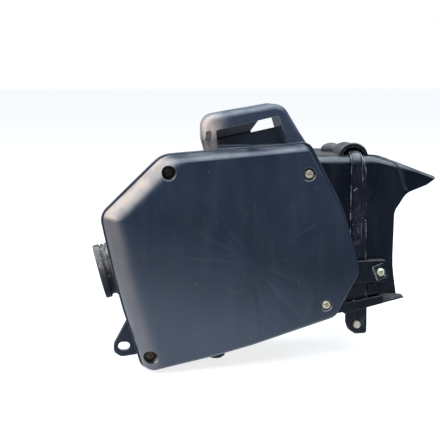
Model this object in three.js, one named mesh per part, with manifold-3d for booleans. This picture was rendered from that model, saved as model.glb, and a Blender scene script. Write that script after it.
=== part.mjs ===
// Air filter housing of a small motorcycle: a moulded case with a screwed service cover, a loop-shaped
// intake snorkel, a rubber connecting tube to the carburettor, a pleated filter element, and the rear inner
// mudguard with its pressed-steel stay. Millimetres. +X points to the rear wheel, +Z up, and the cover faces
// -Y. The parting plane between the cover and the case is y = 0 until the assembly is centred at the end.

import * as THREE from 'three';
import { mergeVertices } from 'three/addons/utils/BufferGeometryUtils.js';
import Module from 'manifold-3d';

const wasm = await Module();
wasm.setup();

// ---- Driving dimensions ----

const GAP = 0.3; // play between pieces that touch
const WALL = 2.5; // moulded plastic wall
const ARC_STEP = THREE.MathUtils.degToRad(30); // largest turn between two points of a rounded corner
const ROUNDING = 1e-6; // keeps a right angle at the same number of steps in every ring

// Corners are [x, z, corner radius], counter-clockwise as seen from the cover side.
// Order: bottom left, middle and right, right, upper right, top right, top left, left, left middle.
const COVER_RIM = [
  [-107.5, -120.3, 9],
  [-17, -103.2, 400],
  [88, -72.5, 12],
  [114, -26, 18],
  [100, 24.5, 150],
  [56, 106, 9],
  [-86.5, 95.2, 24],
  [-147.6, 36.5, 15],
  [-131.5, -40, 400],
];
const COVER_SLOPE = [7, 7, 4, 3.5, 3.5, 8, 20, 26, 26]; // how far each side leans in before the flat face
const FACE_DEPTH = 19.6; // height of the cover's face above the parting plane at x = 0
const FACE_TILT = -0.08; // change of that height with x: the cover is deeper at the carburettor end
const SLOPED_WALL = WALL * 2.2; // the wall of the cover's slopes, measured along the parting plane
const FLANGE_SPREAD = [0.8, 0.8, 0.8, 1.6, 5, 1.2, 2, 2, 2]; // case flange beyond the cover's rim, per side
const FLANGE_THICKNESS = 8;
const SCREW_FLOOR = -9.5; // y of the seats of the cover screws
const COVER_SCREWS = [
  { x: -83, z: 80, recess: 7 },
  { x: 58, z: 76, recess: 6.2 },
  { x: -102, z: -103, recess: 7 },
  { x: 77.5, z: -57.5, recess: 5.6 },
];

// Case body behind the flange. Order: bottom left, bottom right, right, upper right, top right, top left,
// left.
const CASE_BODY = [
  [-104, -113, 10],
  [82, -67, 12],
  [107.3, -27, 14],
  [95, 22, 60],
  [57, 98.5, 8],
  [-84, 90.5, 22],
  [-142, 34, 12],
];
const CASE_DRAFT = [3, 0, 0, 0, 3, 3, 0]; // taper of each side towards the back
const CASE_BACK = 97;
const PARTITION = { y: 20, x: 30, thickness: 2.4 };
const BACK_COVER_DEPTH = 7;
const BACK_SCREWS = [
  [-98, -102],
  [-10, -82],
  [78, -60],
  [90, 20],
  [52, 86],
  [-30, 84],
  [-82, 80],
  [-132, 30],
];
const PILLAR = { radius: 7, depth: 16, web: 3, reach: 14 }; // behind each cover screw

const ELEMENT = { x: -42, z: -11, width: 122, height: 136, rim: 11, front: -6, back: 17.2, pleats: 20 };

const TUBE = { z: -24, y: 54, bore: 22, neck: 25.6, reach: 23.4 };
const TUBE_HOLE = TUBE.neck + 0.4;

const SNORKEL_FRONT = 2;
const SNORKEL_BACK = 47;
const SNORKEL_WALL = 2.2;
const SNORKEL_LOOP = [
  [-42.5, 90, 1],
  [70, 90, 1],
  [51.4, 117.3, 60],
  [33.5, 146.5, 16],
  [-48, 132.8, 27],
  [-48, 109, 9],
];
const SNORKEL_TAPER = [0, 0, 0, 0, 3.5, 3.5]; // the carburettor end narrows towards the back
const SNORKEL_WINDOW = [
  [-32, 101, 1.5],
  [38.4, 104.5, 1.5],
  [29.5, 133.4, 2],
  [-33.8, 119.2, 2],
];
const SNORKEL_PANEL = [
  [-34, 92, 0.5],
  [42, 92, 0.5],
  [36, 122.5, 0.5],
  [31.2, 121.9, 0.5],
  [-24, 110.3, 0.5],
  [-34, 108.5, 0.5],
];
// Upright wall behind the panel; its slanted edge bounds the gap through the loop.
const SNORKEL_PARTITION = [
  [-34.5, 92, 0.5],
  [5, 92, 0.5],
  [5, 118, 1],
  [15, 131, 0.5],
  [-34.5, 120.5, 0.5],
];
const SNORKEL_RECESS = [
  [-44.5, 108, 2.5],
  [-38.5, 108, 2.5],
  [-37.5, 119, 2.8],
  [-43.5, 119, 2.8],
];
const RECESS_DEPTH = 2.5;
const MOUTH = { x: -36, y: 30, z0: 105, z1: 126 }; // air inlet at the back of the loop's carburettor end
const SNORKEL_BASE = 104; // top of the base that bridges the two legs
const INTAKE_HOLE = { x0: 43, x1: 54.5, y0: 10, y1: 43 };

const GUARD_NEAR = 25;
const GUARD_FAR = 145;
const GUARD_SHOULDER = 11;
const GUARD_SIDE = [
  [84, -71.5, 1],
  [162.5, -57.5, 2],
  [157.5, -25, 120],
  [158.5, 32, 16],
  [171, 51, 16],
  [193, 59.5, 8],
  [204.5, 67.5, 1],
  [158, 85, 30],
  [132, 91.5, 60],
  [50, 91.5, 1],
];
const GUARD_OPEN_EDGES = [0, 1, 2, 3, 4, 5]; // wheel side
const GUARD_TOP_EDGES = { 6: 0.3, 7: 0.7, 8: 1 }; // share of the shoulder's height along each top edge
const GUARD_TOP = 91.5;
// Half an ellipse over the stay: [half width, height] of its inside and outside.
const ARCH = { x: 114.6, z: 89.5, inner: [11.4, 10.2], outer: [14.6, 13.3], front: 31, back: 66 };
const PLUG = { x: 106, y: 90, radius: 11.5, neck: 6 };
const PAD = { x: 142, z: -30.5, front: 18 };
const PAD_OUTLINE = [
  [131, -42, 1],
  [149, -42, 3],
  [149, -18.5, 3],
  [131, -18.5, 1],
];
const STRAP = { left: 107.9, right: 132.5, bottom: -41.5, top: -18.5, front: 16.5, thickness: 2.5 };
const LOWER_STRAP = [
  [103.5, -74.4, 1],
  [146, -64.2, 1],
  [146, -55.4, 1],
  [103.5, -63.4, 1],
];
const LOWER_FEET = [
  [
    [103.5, -74.4, 0.5],
    [106.2, -73.7, 0.5],
    [106.2, -63, 0.5],
    [103.5, -63.4, 0.5],
  ],
  [
    [142.6, -65, 0.5],
    [146, -64.2, 0.5],
    [146, -55.4, 0.5],
    [142.6, -56, 0.5],
  ],
];
const LIP = [
  [144, -64.5, 0.6],
  [168.6, -58.8, 0.6],
  [168, -56.8, 0.6],
  [158, -56, 0.6],
  [144, -55.6, 0.6],
];
const CORNER_WEB = [
  [90, -75.2, 1],
  [104.5, -73, 1],
  [106.2, -52, 1],
  [98, -50, 1],
];

const STAY = { left: 110.3, right: 128.3, front: 22.4, thickness: 2, bend: 11.6, tail: 64 };
const STAY_BEAD = { left: 110.8, right: 122.4, bottom: -3, height: 1.7, lean: 1.4 };
const STAY_TONGUE = 122.6; // the stay narrows to this x before it goes under the arch
const STAY_BOLT = { x: 119, z: -87.5 };

const EAR = { x: -126.5, z: -101, y: 18, thickness: 5, hole: 4.6, slot: 1.5 };
const DRAIN = { x: -31.5, y: 22, radius: 8, top: -92, length: 18 };

// ---- Materials ----

function look(color, roughness, metalness = 0) {
  return new THREE.MeshStandardMaterial({ color, roughness, metalness, flatShading: true });
}

const PLASTIC = look(0x2f3743, 0.5);
const DUSTY_PLASTIC = look(0x6d6f74, 0.65);
const GUARD_PLASTIC = look(0x121a22, 0.45);
const RUBBER = look(0x3d4046, 0.85);
const BLACK_STEEL = look(0x2a2f3c, 0.5, 0.3);
const ZINC = look(0xa8a294, 0.35, 0.9);
const YELLOW_ZINC = look(0xb0b089, 0.35, 0.9);
const BRASS = look(0xb08d4f, 0.4, 0.9);
const PAPER = look(0xc9b27c, 0.9);
const FOAM = look(0x55585c, 0.95);

// ---- Outlines and solids ----

// Rounds each corner of a closed polygon with an arc.
function outline(corners) {
  return corners.flatMap(([x, z, radius], i) => {
    const here = new THREE.Vector2(x, z);
    const back = new THREE.Vector2(...corners.at(i - 1)).sub(here);
    const ahead = new THREE.Vector2(...corners[(i + 1) % corners.length]).sub(here);
    const half = Math.acos(back.dot(ahead) / back.length() / ahead.length()) / 2;
    const reach = Math.min(radius / Math.tan(half), 0.49 * back.length(), 0.49 * ahead.length());
    const turn = (Math.PI - 2 * half) * Math.sign(ahead.cross(back));
    const steps = Math.max(1, Math.ceil(Math.abs(turn) / ARC_STEP - ROUNDING));
    const toCentre = back.clone().normalize().add(ahead.clone().normalize());
    const centre = here.clone().add(toCentre.setLength(reach / Math.cos(half)));
    const start = here.clone().add(back.setLength(reach));
    const turned = (k) => start.clone().rotateAround(centre, (turn * k) / steps);
    return Array.from({ length: steps + 1 }, (_, k) => turned(k));
  });
}

// Moves the edges of a polygon inwards by one amount or one amount per edge; edge i follows corner i.
function inset(corners, amount) {
  const amounts = corners.map((_, i) => (Array.isArray(amount) ? amount[i] : amount));
  const edges = corners.map(([x, z], i) => {
    const along = new THREE.Vector2(...corners[(i + 1) % corners.length]).sub(new THREE.Vector2(x, z));
    along.normalize();
    const inward = new THREE.Vector2(-along.y, along.x);
    return { from: new THREE.Vector2(x, z).addScaledVector(inward, amounts[i]), along };
  });
  return corners.map(([, , radius], i) => {
    const before = edges.at(i - 1);
    const after = edges[i];
    const bend = before.along.cross(after.along);
    const travel = after.from.clone().sub(before.from).cross(after.along) / bend;
    const moved = before.from.clone().addScaledVector(before.along, travel);
    const tightened = radius - (Math.sign(bend) * (amounts.at(i - 1) + amounts[i])) / 2;
    return [moved.x, moved.y, Math.max(tightened, 0.4)];
  });
}

// Joins closed rings with equal numbers of points and caps both ends.
function loft(rings) {
  const count = rings[0].length;
  const index = [];
  for (let r = 0; r + 1 < rings.length; r += 1) {
    for (let i = 0; i < count; i += 1) {
      const a = r * count + i;
      const b = r * count + ((i + 1) % count);
      index.push(a, b, b + count, a, b + count, a + count);
    }
  }
  const flat = (ring) => ring.map((point) => new THREE.Vector2(point.x, point.z));
  const last = (rings.length - 1) * count;
  for (const [a, b, c] of THREE.ShapeUtils.triangulateShape(flat(rings[0]), [])) {
    index.push(c, b, a);
  }
  for (const [a, b, c] of THREE.ShapeUtils.triangulateShape(flat(rings.at(-1)), [])) {
    index.push(a + last, b + last, c + last);
  }
  const geometry = new THREE.BufferGeometry();
  const coordinates = rings.flat().flatMap((point) => [point.x, point.y, point.z]);
  geometry.setAttribute('position', new THREE.Float32BufferAttribute(coordinates, 3));
  const towardsCover = rings.at(-1)[0].y < rings[0][0].y;
  geometry.setIndex(towardsCover ? index : index.reverse());
  return solid(geometry);
}

function ring(corners, y) {
  const height = typeof y === 'function' ? y : () => y;
  return outline(corners).map((p) => new THREE.Vector3(p.x, height(p.x), p.y));
}

function prism(corners, y0, y1, taper = 0) {
  return loft([ring(corners, y0), ring(inset(corners, taper), y1)]);
}

// A closed three.js geometry as a manifold solid.
function solid(geometry) {
  const bare = geometry.clone();
  bare.deleteAttribute('normal');
  bare.deleteAttribute('uv');
  const merged = mergeVertices(bare, 1e-4);
  const triangles = [];
  for (let i = 0; i < merged.index.count; i += 3) {
    const corners = [0, 1, 2].map((k) => merged.index.getX(i + k));
    if (new Set(corners).size === 3) {
      triangles.push(...corners);
    }
  }
  return new wasm.Manifold(
    new wasm.Mesh({
      numProp: 3,
      vertProperties: new Float32Array(merged.attributes.position.array),
      triVerts: new Uint32Array(triangles),
    }),
  );
}

function box(x0, x1, y0, y1, z0, z1) {
  const geometry = new THREE.BoxGeometry(x1 - x0, y1 - y0, z1 - z0);
  return solid(geometry.translate((x0 + x1) / 2, (y0 + y1) / 2, (z0 + z1) / 2));
}

// A cylinder along Y. With 6 sides it is a hexagon.
function round(x, z, radius, y0, y1, sides = 20) {
  const geometry = new THREE.CylinderGeometry(radius, radius, y1 - y0, sides);
  return solid(geometry.translate(x, (y0 + y1) / 2, z));
}

// A cylinder from one point along a direction.
function rod(from, direction, radius, length, sides = 20) {
  const geometry = new THREE.CylinderGeometry(radius, radius, length, sides);
  geometry.translate(0, length / 2, 0);
  const along = new THREE.Vector3(0, 1, 0);
  geometry.applyQuaternion(new THREE.Quaternion().setFromUnitVectors(along, direction));
  return solid(geometry.translate(from.x, from.y, from.z));
}

function joined(solids) {
  return solids.reduce((sum, next) => sum.add(next));
}

const TO_COVER_SIDE = new THREE.Vector3(0, -1, 0);

const housing = new THREE.Group();

function addPart(name, material, body) {
  const data = body.getMesh();
  const geometry = new THREE.BufferGeometry();
  geometry.setAttribute('position', new THREE.Float32BufferAttribute(data.vertProperties, 3));
  geometry.setIndex(new THREE.Uint32BufferAttribute(data.triVerts, 1));
  geometry.computeVertexNormals();
  const mesh = new THREE.Mesh(geometry, material);
  mesh.name = name;
  housing.add(mesh);
  return mesh;
}

// Places a fastener, which is modelled with its head towards -Y and its seat at the origin.
function placeFastener(mesh, seat, headDirection) {
  mesh.position.copy(seat);
  mesh.quaternion.setFromUnitVectors(new THREE.Vector3(0, -1, 0), headDirection);
}

// ---- Fasteners ----

const M5 = { shaft: 2.4, clearance: 2.75, pan: 4.7, panHeight: 3.2, hex: 4.6, nut: 4.4, nutHeight: 3.6 };

function panScrew(length, headRadius = M5.pan) {
  const crown = new THREE.LatheGeometry(
    [
      [0, -M5.panHeight],
      [headRadius * 0.7, -M5.panHeight],
      [headRadius, -M5.panHeight * 0.5],
      [headRadius, 0],
      [M5.shaft, 0],
      [M5.shaft, length],
      [0, length],
    ].map(([r, y]) => new THREE.Vector2(r, y)),
    12,
  );
  const slot = headRadius * 0.5;
  const cross = box(-slot, slot, -6, -1.4, -0.6, 0.6).add(box(-0.6, 0.6, -6, -1.4, -slot, slot));
  return solid(crown).subtract(cross);
}

function hexBolt(length, headRadius = M5.hex, headHeight = 3.5) {
  return round(0, 0, headRadius, -headHeight, 0, 6).add(round(0, 0, M5.shaft, -0.1, length, 10));
}

function nut() {
  return round(0, 0, M5.nut, 0, M5.nutHeight, 6).subtract(round(0, 0, M5.clearance, -1, 5, 12));
}

// ---- Service cover and its gasket ----

function faceHeight(x) {
  return -(FACE_DEPTH + FACE_TILT * x);
}

// Rings from the rim to the face: each side leans in along a quarter of an ellipse.
function coverShell(thickness, steps) {
  const rings = [];
  for (let k = 0; k <= steps; k += 1) {
    const angle = (k / steps) * (Math.PI / 2);
    const offset = (thickness / WALL) * SLOPED_WALL;
    const lean = COVER_SLOPE.map((width) => width * (1 - Math.cos(angle)) + offset);
    rings.push(ring(inset(COVER_RIM, lean), (x) => (faceHeight(x) + thickness) * Math.sin(angle) - GAP));
  }
  return rings;
}

function serviceCover() {
  const rimSlab = ring(inset(COVER_RIM, SLOPED_WALL), 2);
  const hollow = loft([rimSlab, ...coverShell(WALL, 4).slice(1)]);
  let cover = loft(coverShell(0, 5)).subtract(hollow);
  for (const { x, z, recess } of COVER_SCREWS) {
    const pillar = round(x, z, recess + 2, -40, -GAP, 16).intersect(loft(coverShell(0, 5)));
    cover = cover.add(pillar);
    cover = cover.subtract(round(x, z, recess, -60, SCREW_FLOOR, 16));
    cover = cover.subtract(round(x, z, M5.clearance, -60, 5, 12));
  }
  return cover;
}

function coverGasket() {
  return prism(inset(COVER_RIM, 5.4), 1.9, 0).subtract(prism(inset(COVER_RIM, 7.4), 5, -5));
}

addPart('service_cover', PLASTIC, serviceCover());
addPart('cover_gasket', FOAM, coverGasket());
COVER_SCREWS.forEach(({ x, z }, i) => {
  const screw = addPart(`cover_screw_${i + 1}`, ZINC, panScrew(27));
  placeFastener(screw, new THREE.Vector3(x, SCREW_FLOOR - GAP, z), TO_COVER_SIDE);
  const captive = addPart(`cover_nut_${i + 1}`, BRASS, nut());
  placeFastener(captive, new THREE.Vector3(x, PILLAR.depth - 4 + GAP, z), TO_COVER_SIDE);
});

// ---- Case ----

const [leftTop, leftBottom] = [CASE_BODY.at(-1), CASE_BODY[0]].map(([x, z]) => new THREE.Vector3(x, 0, z));
const leftWall = leftBottom.clone().sub(leftTop);
const tubeAxis = new THREE.Vector3(leftWall.z, 0, -leftWall.x).normalize(); // out of the left wall
const tubeSeat = leftTop.clone().addScaledVector(leftWall, (TUBE.z - leftTop.z) / leftWall.z);
tubeSeat.y = TUBE.y;

// The middle of a side of the case and the way its outer face looks.
function sideOfCase(corner) {
  const [x0, z0] = CASE_BODY[corner];
  const [x1, z1] = CASE_BODY[(corner + 1) % CASE_BODY.length];
  const middle = new THREE.Vector3((x0 + x1) / 2, 70, (z0 + z1) / 2);
  return { middle, outward: new THREE.Vector3(z1 - z0, 0, x0 - x1).normalize() };
}
const GUARD_SCREW_SITES = [1, 2, 3].map(sideOfCase);
const GUARD_CLEARANCE = 0.4;

const SNORKEL_SCREW_SITES = [new THREE.Vector3(-36, 28, 93.2), new THREE.Vector3(0, 42, 95.2)];
const UP = new THREE.Vector3(0, 0, 1);

function caseShell() {
  const flange = prism(inset(COVER_RIM, FLANGE_SPREAD.map((spread) => -spread)), GAP, FLANGE_THICKNESS);
  const bodyOuter = prism(CASE_BODY, GAP + 0.5, CASE_BACK, CASE_DRAFT);
  const bodyInner = prism(inset(CASE_BODY, WALL), -5, CASE_BACK - 4, CASE_DRAFT);
  const backOpening = prism(inset(CASE_BODY, CASE_DRAFT.map((draft) => draft + 13)), 80, CASE_BACK + 5);
  let shell = flange.add(bodyOuter).subtract(bodyInner).subtract(backOpening);

  // Partition between the unfiltered and the filtered side.
  const { y, x, thickness } = PARTITION;
  const inside = prism(inset(CASE_BODY, WALL / 2), 2, CASE_BACK - 2, CASE_DRAFT);
  const facing = box(-200, x + thickness, y, y + thickness, -200, 200);
  const dividing = box(x, x + thickness, y, CASE_BACK - 2, -200, 200);
  const openingX = ELEMENT.width / 2 - ELEMENT.rim;
  const openingZ = ELEMENT.height / 2 - ELEMENT.rim;
  const opening = box(
    ELEMENT.x - openingX,
    ELEMENT.x + openingX,
    y - 1,
    y + thickness + 1,
    ELEMENT.z - openingZ,
    ELEMENT.z + openingZ,
  );
  shell = shell.add(facing.add(dividing).intersect(inside).subtract(opening));

  // Pillars with captive nuts behind the cover screws, each with a web to the nearest wall.
  for (const { x: sx, z: sz } of COVER_SCREWS) {
    const farX = sx + Math.sign(sx) * PILLAR.reach;
    const farZ = sz + Math.sign(sz) * PILLAR.reach;
    const half = PILLAR.web / 2;
    const upright = box(sx - half, sx + half, 1, PILLAR.depth, Math.min(sz, farZ), Math.max(sz, farZ));
    const level = box(Math.min(sx, farX), Math.max(sx, farX), 1, PILLAR.depth, sz - half, sz + half);
    const pillar = round(sx, sz, PILLAR.radius, GAP, PILLAR.depth, 12).add(upright).add(level);
    shell = shell.add(pillar.intersect(prism(inset(CASE_BODY, 1), GAP, 60)));
    shell = shell.subtract(round(sx, sz, M5.clearance, -5, 19, 12));
    shell = shell.subtract(round(sx, sz, M5.nut + GAP + 0.1, PILLAR.depth - 4, 17, 6));
  }

  // Pillars for the back cover's screws, inside the back opening's lip.
  for (const [sx, sz] of BACK_SCREWS) {
    const pillar = round(sx, sz, 5.5, CASE_BACK - 16, CASE_BACK, 10);
    shell = shell.add(pillar.intersect(prism(inset(CASE_BODY, 1), 0, CASE_BACK, CASE_DRAFT)));
    shell = shell.subtract(round(sx, sz, M5.clearance, CASE_BACK - 14, CASE_BACK + 5, 8));
  }

  // Mounting ear with an oblong hole, below the carburettor side.
  const ear = prism(
    [
      [EAR.x + 14, EAR.z - 9, 4],
      [EAR.x + 20, EAR.z + 26, 1],
      [EAR.x + 3, EAR.z + 28, 2],
      [EAR.x - 10.5, EAR.z + 3, 9],
      [EAR.x - 10.5, EAR.z - 6, 6],
      [EAR.x - 3, EAR.z - 11, 7],
    ],
    EAR.y,
    EAR.y + EAR.thickness,
  ).subtract(prism(inset(CASE_BODY, WALL), -5, 60));
  const slotEnds = [EAR.x - EAR.slot, EAR.x + EAR.slot];
  const earHole = joined(slotEnds.map((x0) => round(x0, EAR.z, EAR.hole, 0, 60)));
  const earSlot = box(...slotEnds, 0, 60, EAR.z - EAR.hole, EAR.z + EAR.hole);
  shell = shell.add(ear).subtract(earHole).subtract(earSlot);

  // Drain spigot in the bottom wall.
  const down = new THREE.Vector3(0, 0, -1);
  shell = shell.add(rod(new THREE.Vector3(DRAIN.x, DRAIN.y, DRAIN.top), down, DRAIN.radius, DRAIN.length));
  shell = shell.subtract(rod(new THREE.Vector3(DRAIN.x, DRAIN.y, -85), down, DRAIN.radius - WALL, 30));

  // Holes for the connecting tube, the snorkel and the screws of the snorkel and the mudguard.
  const inwards = tubeAxis.clone().negate();
  const tubeStart = tubeSeat.clone().addScaledVector(tubeAxis, 10);
  shell = shell.subtract(rod(tubeStart, inwards, TUBE_HOLE, 25, 28));
  shell = shell.subtract(box(INTAKE_HOLE.x0, INTAKE_HOLE.x1, INTAKE_HOLE.y0, INTAKE_HOLE.y1, 85, 110));
  for (const site of SNORKEL_SCREW_SITES) {
    shell = shell.subtract(rod(site.clone().addScaledVector(UP, -8), UP, M5.clearance, 14, 12));
  }
  for (const { middle, outward } of GUARD_SCREW_SITES) {
    const boss = rod(middle.clone().addScaledVector(outward, -12), outward, 6, 11, 14);
    shell = shell.add(boss.subtract(prism(inset(CASE_BODY, -1), 90, 120)));
    shell = shell.subtract(rod(middle.clone().addScaledVector(outward, -14), outward, M5.clearance, 20, 12));
  }

  // Groove for the cover's gasket.
  const groove = prism(inset(COVER_RIM, 5.1), -1, 2.2);
  return shell.subtract(groove.subtract(prism(inset(COVER_RIM, 7.7), -2, 3)));
}

addPart('case_shell', PLASTIC, caseShell());

function backCover() {
  const outer = inset(CASE_BODY, CASE_DRAFT);
  const plate = prism(outer, CASE_BACK + GAP, CASE_BACK + 3);
  const pan = prism(inset(outer, 16), CASE_BACK + 2.9, CASE_BACK + BACK_COVER_DEPTH, 2);
  const hollow = prism(inset(outer, 18.5), CASE_BACK - 5, CASE_BACK + BACK_COVER_DEPTH - WALL, 2);
  const sealGroove = prism(inset(outer, 5.8), CASE_BACK - 1, CASE_BACK + 2);
  const inGroove = prism(inset(outer, 7.4), 0, 200);
  let cover = plate.add(pan).subtract(hollow).subtract(sealGroove.subtract(inGroove));
  for (const [x, z] of BACK_SCREWS) {
    cover = cover.subtract(round(x, z, M5.clearance, 50, 150, 8));
  }
  return cover;
}

addPart('back_cover', PLASTIC, backCover());
BACK_SCREWS.forEach(([x, z], i) => {
  const screw = addPart(`back_screw_${i + 1}`, ZINC, hexBolt(15));
  placeFastener(screw, new THREE.Vector3(x, CASE_BACK + 3 + GAP, z), new THREE.Vector3(0, 1, 0));
});

// ---- Filter element ----

const elementBox = (margin, y0, y1) =>
  box(
    ELEMENT.x - ELEMENT.width / 2 + margin,
    ELEMENT.x + ELEMENT.width / 2 - margin,
    y0,
    y1,
    ELEMENT.z - ELEMENT.height / 2 + margin,
    ELEMENT.z + ELEMENT.height / 2 - margin,
  );

function elementFrame() {
  const block = elementBox(0, ELEMENT.front, ELEMENT.back);
  const tray = block.subtract(elementBox(ELEMENT.rim, -30, 60));
  return tray.subtract(elementBox(ELEMENT.rim - 4, ELEMENT.front + WALL, ELEMENT.back + 5));
}

function pleatedMedia() {
  const margin = ELEMENT.rim - 4 + GAP;
  const left = ELEMENT.x - ELEMENT.width / 2 + margin;
  const width = ELEMENT.width - 2 * margin;
  const front = ELEMENT.front + WALL + GAP;
  const depth = 12;
  const paper = 1.6;
  const crest = (i) => (i % 2 === 0 ? 0 : depth);
  const points = [];
  const folds = ELEMENT.pleats * 2;
  for (let i = 0; i <= folds; i += 1) {
    points.push(new THREE.Vector2(left + (width * i) / folds, front + crest(i)));
  }
  for (let i = folds; i >= 0; i -= 1) {
    points.push(new THREE.Vector2(left + (width * i) / folds, front + crest(i) + paper * 2));
  }
  const height = ELEMENT.height - 2 * margin;
  const pleats = new THREE.ExtrudeGeometry(new THREE.Shape(points), { depth: height, bevelEnabled: false });
  return solid(pleats.translate(0, 0, ELEMENT.z - height / 2));
}

function elementScreen() {
  const margin = ELEMENT.rim - 4 + GAP;
  const slots = [];
  const innerWidth = ELEMENT.width - 2 * margin - 8;
  const innerHeight = ELEMENT.height - 2 * margin - 8;
  const columns = 5;
  const rows = 6;
  for (let c = 0; c < columns; c += 1) {
    for (let r = 0; r < rows; r += 1) {
      const x0 = ELEMENT.x - innerWidth / 2 + (innerWidth * c) / columns;
      const z0 = ELEMENT.z - innerHeight / 2 + (innerHeight * r) / rows;
      slots.push(box(x0 + 1, x0 + innerWidth / columns - 1, 0, 40, z0 + 1, z0 + innerHeight / rows - 1));
    }
  }
  return elementBox(margin, 12.9, 14.1).subtract(joined(slots));
}

function elementSeal() {
  const pad = elementBox(1, ELEMENT.back + GAP, PARTITION.y - GAP);
  return pad.subtract(elementBox(ELEMENT.rim - 2, -30, 60));
}

addPart('element_frame', look(0x1c1e22, 0.6), elementFrame());
addPart('element_media', PAPER, pleatedMedia());
addPart('element_screen', ZINC, elementScreen());
addPart('element_seal', FOAM, elementSeal());

// ---- Connecting tube ----

// The profile runs outwards from the case wall: s is the distance along the tube's axis from that wall.
function connectingTube() {
  const profile = [
    [TUBE.bore, -9],
    [26, -9],
    [29, -6.5],
    [29, -WALL - GAP],
    [TUBE.neck, -WALL - GAP],
    [TUBE.neck, GAP],
    [29.2, GAP],
    [29.2, 4],
    [28, 5.5],
    [28, 11],
    [26, 12],
    [26, 16],
    [28.5, 17],
    [28.5, 22.4],
    [27.6, TUBE.reach],
    [24.4, TUBE.reach],
    [TUBE.bore, 18],
    [TUBE.bore, -9],
  ];
  const points = profile.map(([radius, s]) => new THREE.Vector2(radius, s));
  return solid(new THREE.LatheGeometry(points, 28));
}

const tube = addPart('connecting_tube', RUBBER, connectingTube());
tube.position.copy(tubeSeat);
tube.quaternion.setFromUnitVectors(new THREE.Vector3(0, 1, 0), tubeAxis);

const ringInside = round(0, 0, TUBE.bore - 1.8, -20, 20, 28);
const insertRing = round(0, 0, TUBE.bore - GAP, -8, 4, 28).subtract(ringInside);
const tubeRing = addPart('tube_insert_ring', ZINC, insertRing);
tubeRing.position.copy(tubeSeat);
tubeRing.quaternion.copy(tube.quaternion);

// ---- Drain plug ----

function drainPlug() {
  const profile = [
    [0, 1.5],
    [DRAIN.radius + 1, 1.5],
    [DRAIN.radius + 1.5, 0],
    [DRAIN.radius + 1.5, -2.5],
    [DRAIN.radius - 1, -4.5],
    [0, -5],
  ];
  const points = profile.reverse().map(([radius, y]) => new THREE.Vector2(radius, y));
  const cap = solid(new THREE.LatheGeometry(points, 20));
  const stem = round(0, 0, DRAIN.radius - WALL - GAP, 0, 9, 16);
  return cap.add(stem);
}

const plugMesh = addPart('drain_plug', RUBBER, drainPlug());
plugMesh.position.set(DRAIN.x, DRAIN.y, DRAIN.top - DRAIN.length - 1.5 - GAP);
plugMesh.rotation.x = Math.PI / 2;

// ---- Intake snorkel ----

function snorkel() {
  const block = prism(SNORKEL_LOOP, SNORKEL_FRONT, SNORKEL_BACK, SNORKEL_TAPER);
  const loop = block.subtract(prism(SNORKEL_WINDOW, -10, 100));
  const partition = prism(SNORKEL_PARTITION, 24, 26.5);
  const panel = prism(SNORKEL_PANEL, 18, 20.5);
  const base = box(-40, 44, FLANGE_THICKNESS + 1, SNORKEL_BACK, 90, SNORKEL_BASE);
  const outside = loop.add(partition).add(panel).add(base.intersect(prism(SNORKEL_LOOP, 0, 60)));

  const inner = inset(SNORKEL_LOOP, SNORKEL_WALL);
  const channel = prism(inner, SNORKEL_FRONT + SNORKEL_WALL, SNORKEL_BACK - SNORKEL_WALL, SNORKEL_TAPER)
    .subtract(prism(inset(SNORKEL_WINDOW, -SNORKEL_WALL), -10, 100))
    .subtract(box(-80, 41, -10, 100, 80, 107))
    .subtract(prism(inset(SNORKEL_RECESS, -SNORKEL_WALL), 0, SNORKEL_FRONT + RECESS_DEPTH + SNORKEL_WALL));
  const { x0, x1, y0, y1 } = INTAKE_HOLE;
  const legBottom = box(x0, x1 + 2, y0, y1, 80, 112);
  const recess = prism(SNORKEL_RECESS, -10, SNORKEL_FRONT + RECESS_DEPTH);
  const mouthSide = prism(inset(inner, SNORKEL_TAPER), MOUTH.y, 60);
  const rearMouth = mouthSide.intersect(box(-60, MOUTH.x, MOUTH.y, 60, MOUTH.z0, MOUTH.z1));
  const body = outside.subtract(channel).subtract(legBottom).subtract(recess).subtract(rearMouth);

  const flangeEdge = inset(COVER_RIM, FLANGE_SPREAD.map((s) => -s - GAP));
  const flangeRoom = prism(flangeEdge, -10, FLANGE_THICKNESS + GAP);
  const bodyRoom = prism(inset(CASE_BODY, -GAP), -10, 100);
  const guardRoom = box(40, 100, GUARD_NEAR - 1, 100, 60, GUARD_TOP + 0.7);
  let fitted = body.subtract(flangeRoom).subtract(bodyRoom).subtract(guardRoom);
  for (const site of SNORKEL_SCREW_SITES) {
    fitted = fitted.subtract(rod(site, UP, M5.clearance, 9.5, 12));
  }
  return fitted;
}

addPart('intake_snorkel', DUSTY_PLASTIC, snorkel());
SNORKEL_SCREW_SITES.forEach((site, i) => {
  const screw = addPart(`snorkel_screw_${i + 1}`, ZINC, hexBolt(11));
  placeFastener(screw, site.clone().addScaledVector(UP, -WALL - 2), new THREE.Vector3(0, 0, -1));
});

// ---- Mudguard ----

function guardEdges(wall, drop, open) {
  return GUARD_SIDE.map((_, i) => {
    if (i in GUARD_TOP_EDGES) {
      return wall + drop * GUARD_TOP_EDGES[i];
    }
    return GUARD_OPEN_EDGES.includes(i) ? open : 0;
  });
}

// The guard's side profile swept across the wheel, with rounded shoulders along the top.
function guardBlock(wall, open) {
  const rings = [];
  const steps = 3;
  const shoulder = (k, side) => {
    const angle = (k / steps) * (Math.PI / 2);
    const drop = (GUARD_SHOULDER - wall) * (1 - Math.sin(angle));
    const y = wall + (GUARD_SHOULDER - wall) * (1 - Math.cos(angle));
    return ring(inset(GUARD_SIDE, guardEdges(wall, drop, open)), side < 0 ? GUARD_NEAR + y : GUARD_FAR - y);
  };
  for (let k = 0; k <= steps; k += 1) {
    rings.push(shoulder(k, -1));
  }
  for (let k = steps; k >= 0; k -= 1) {
    rings.push(shoulder(k, 1));
  }
  return loft(rings);
}

const ARCH_STEPS = 9;

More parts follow.
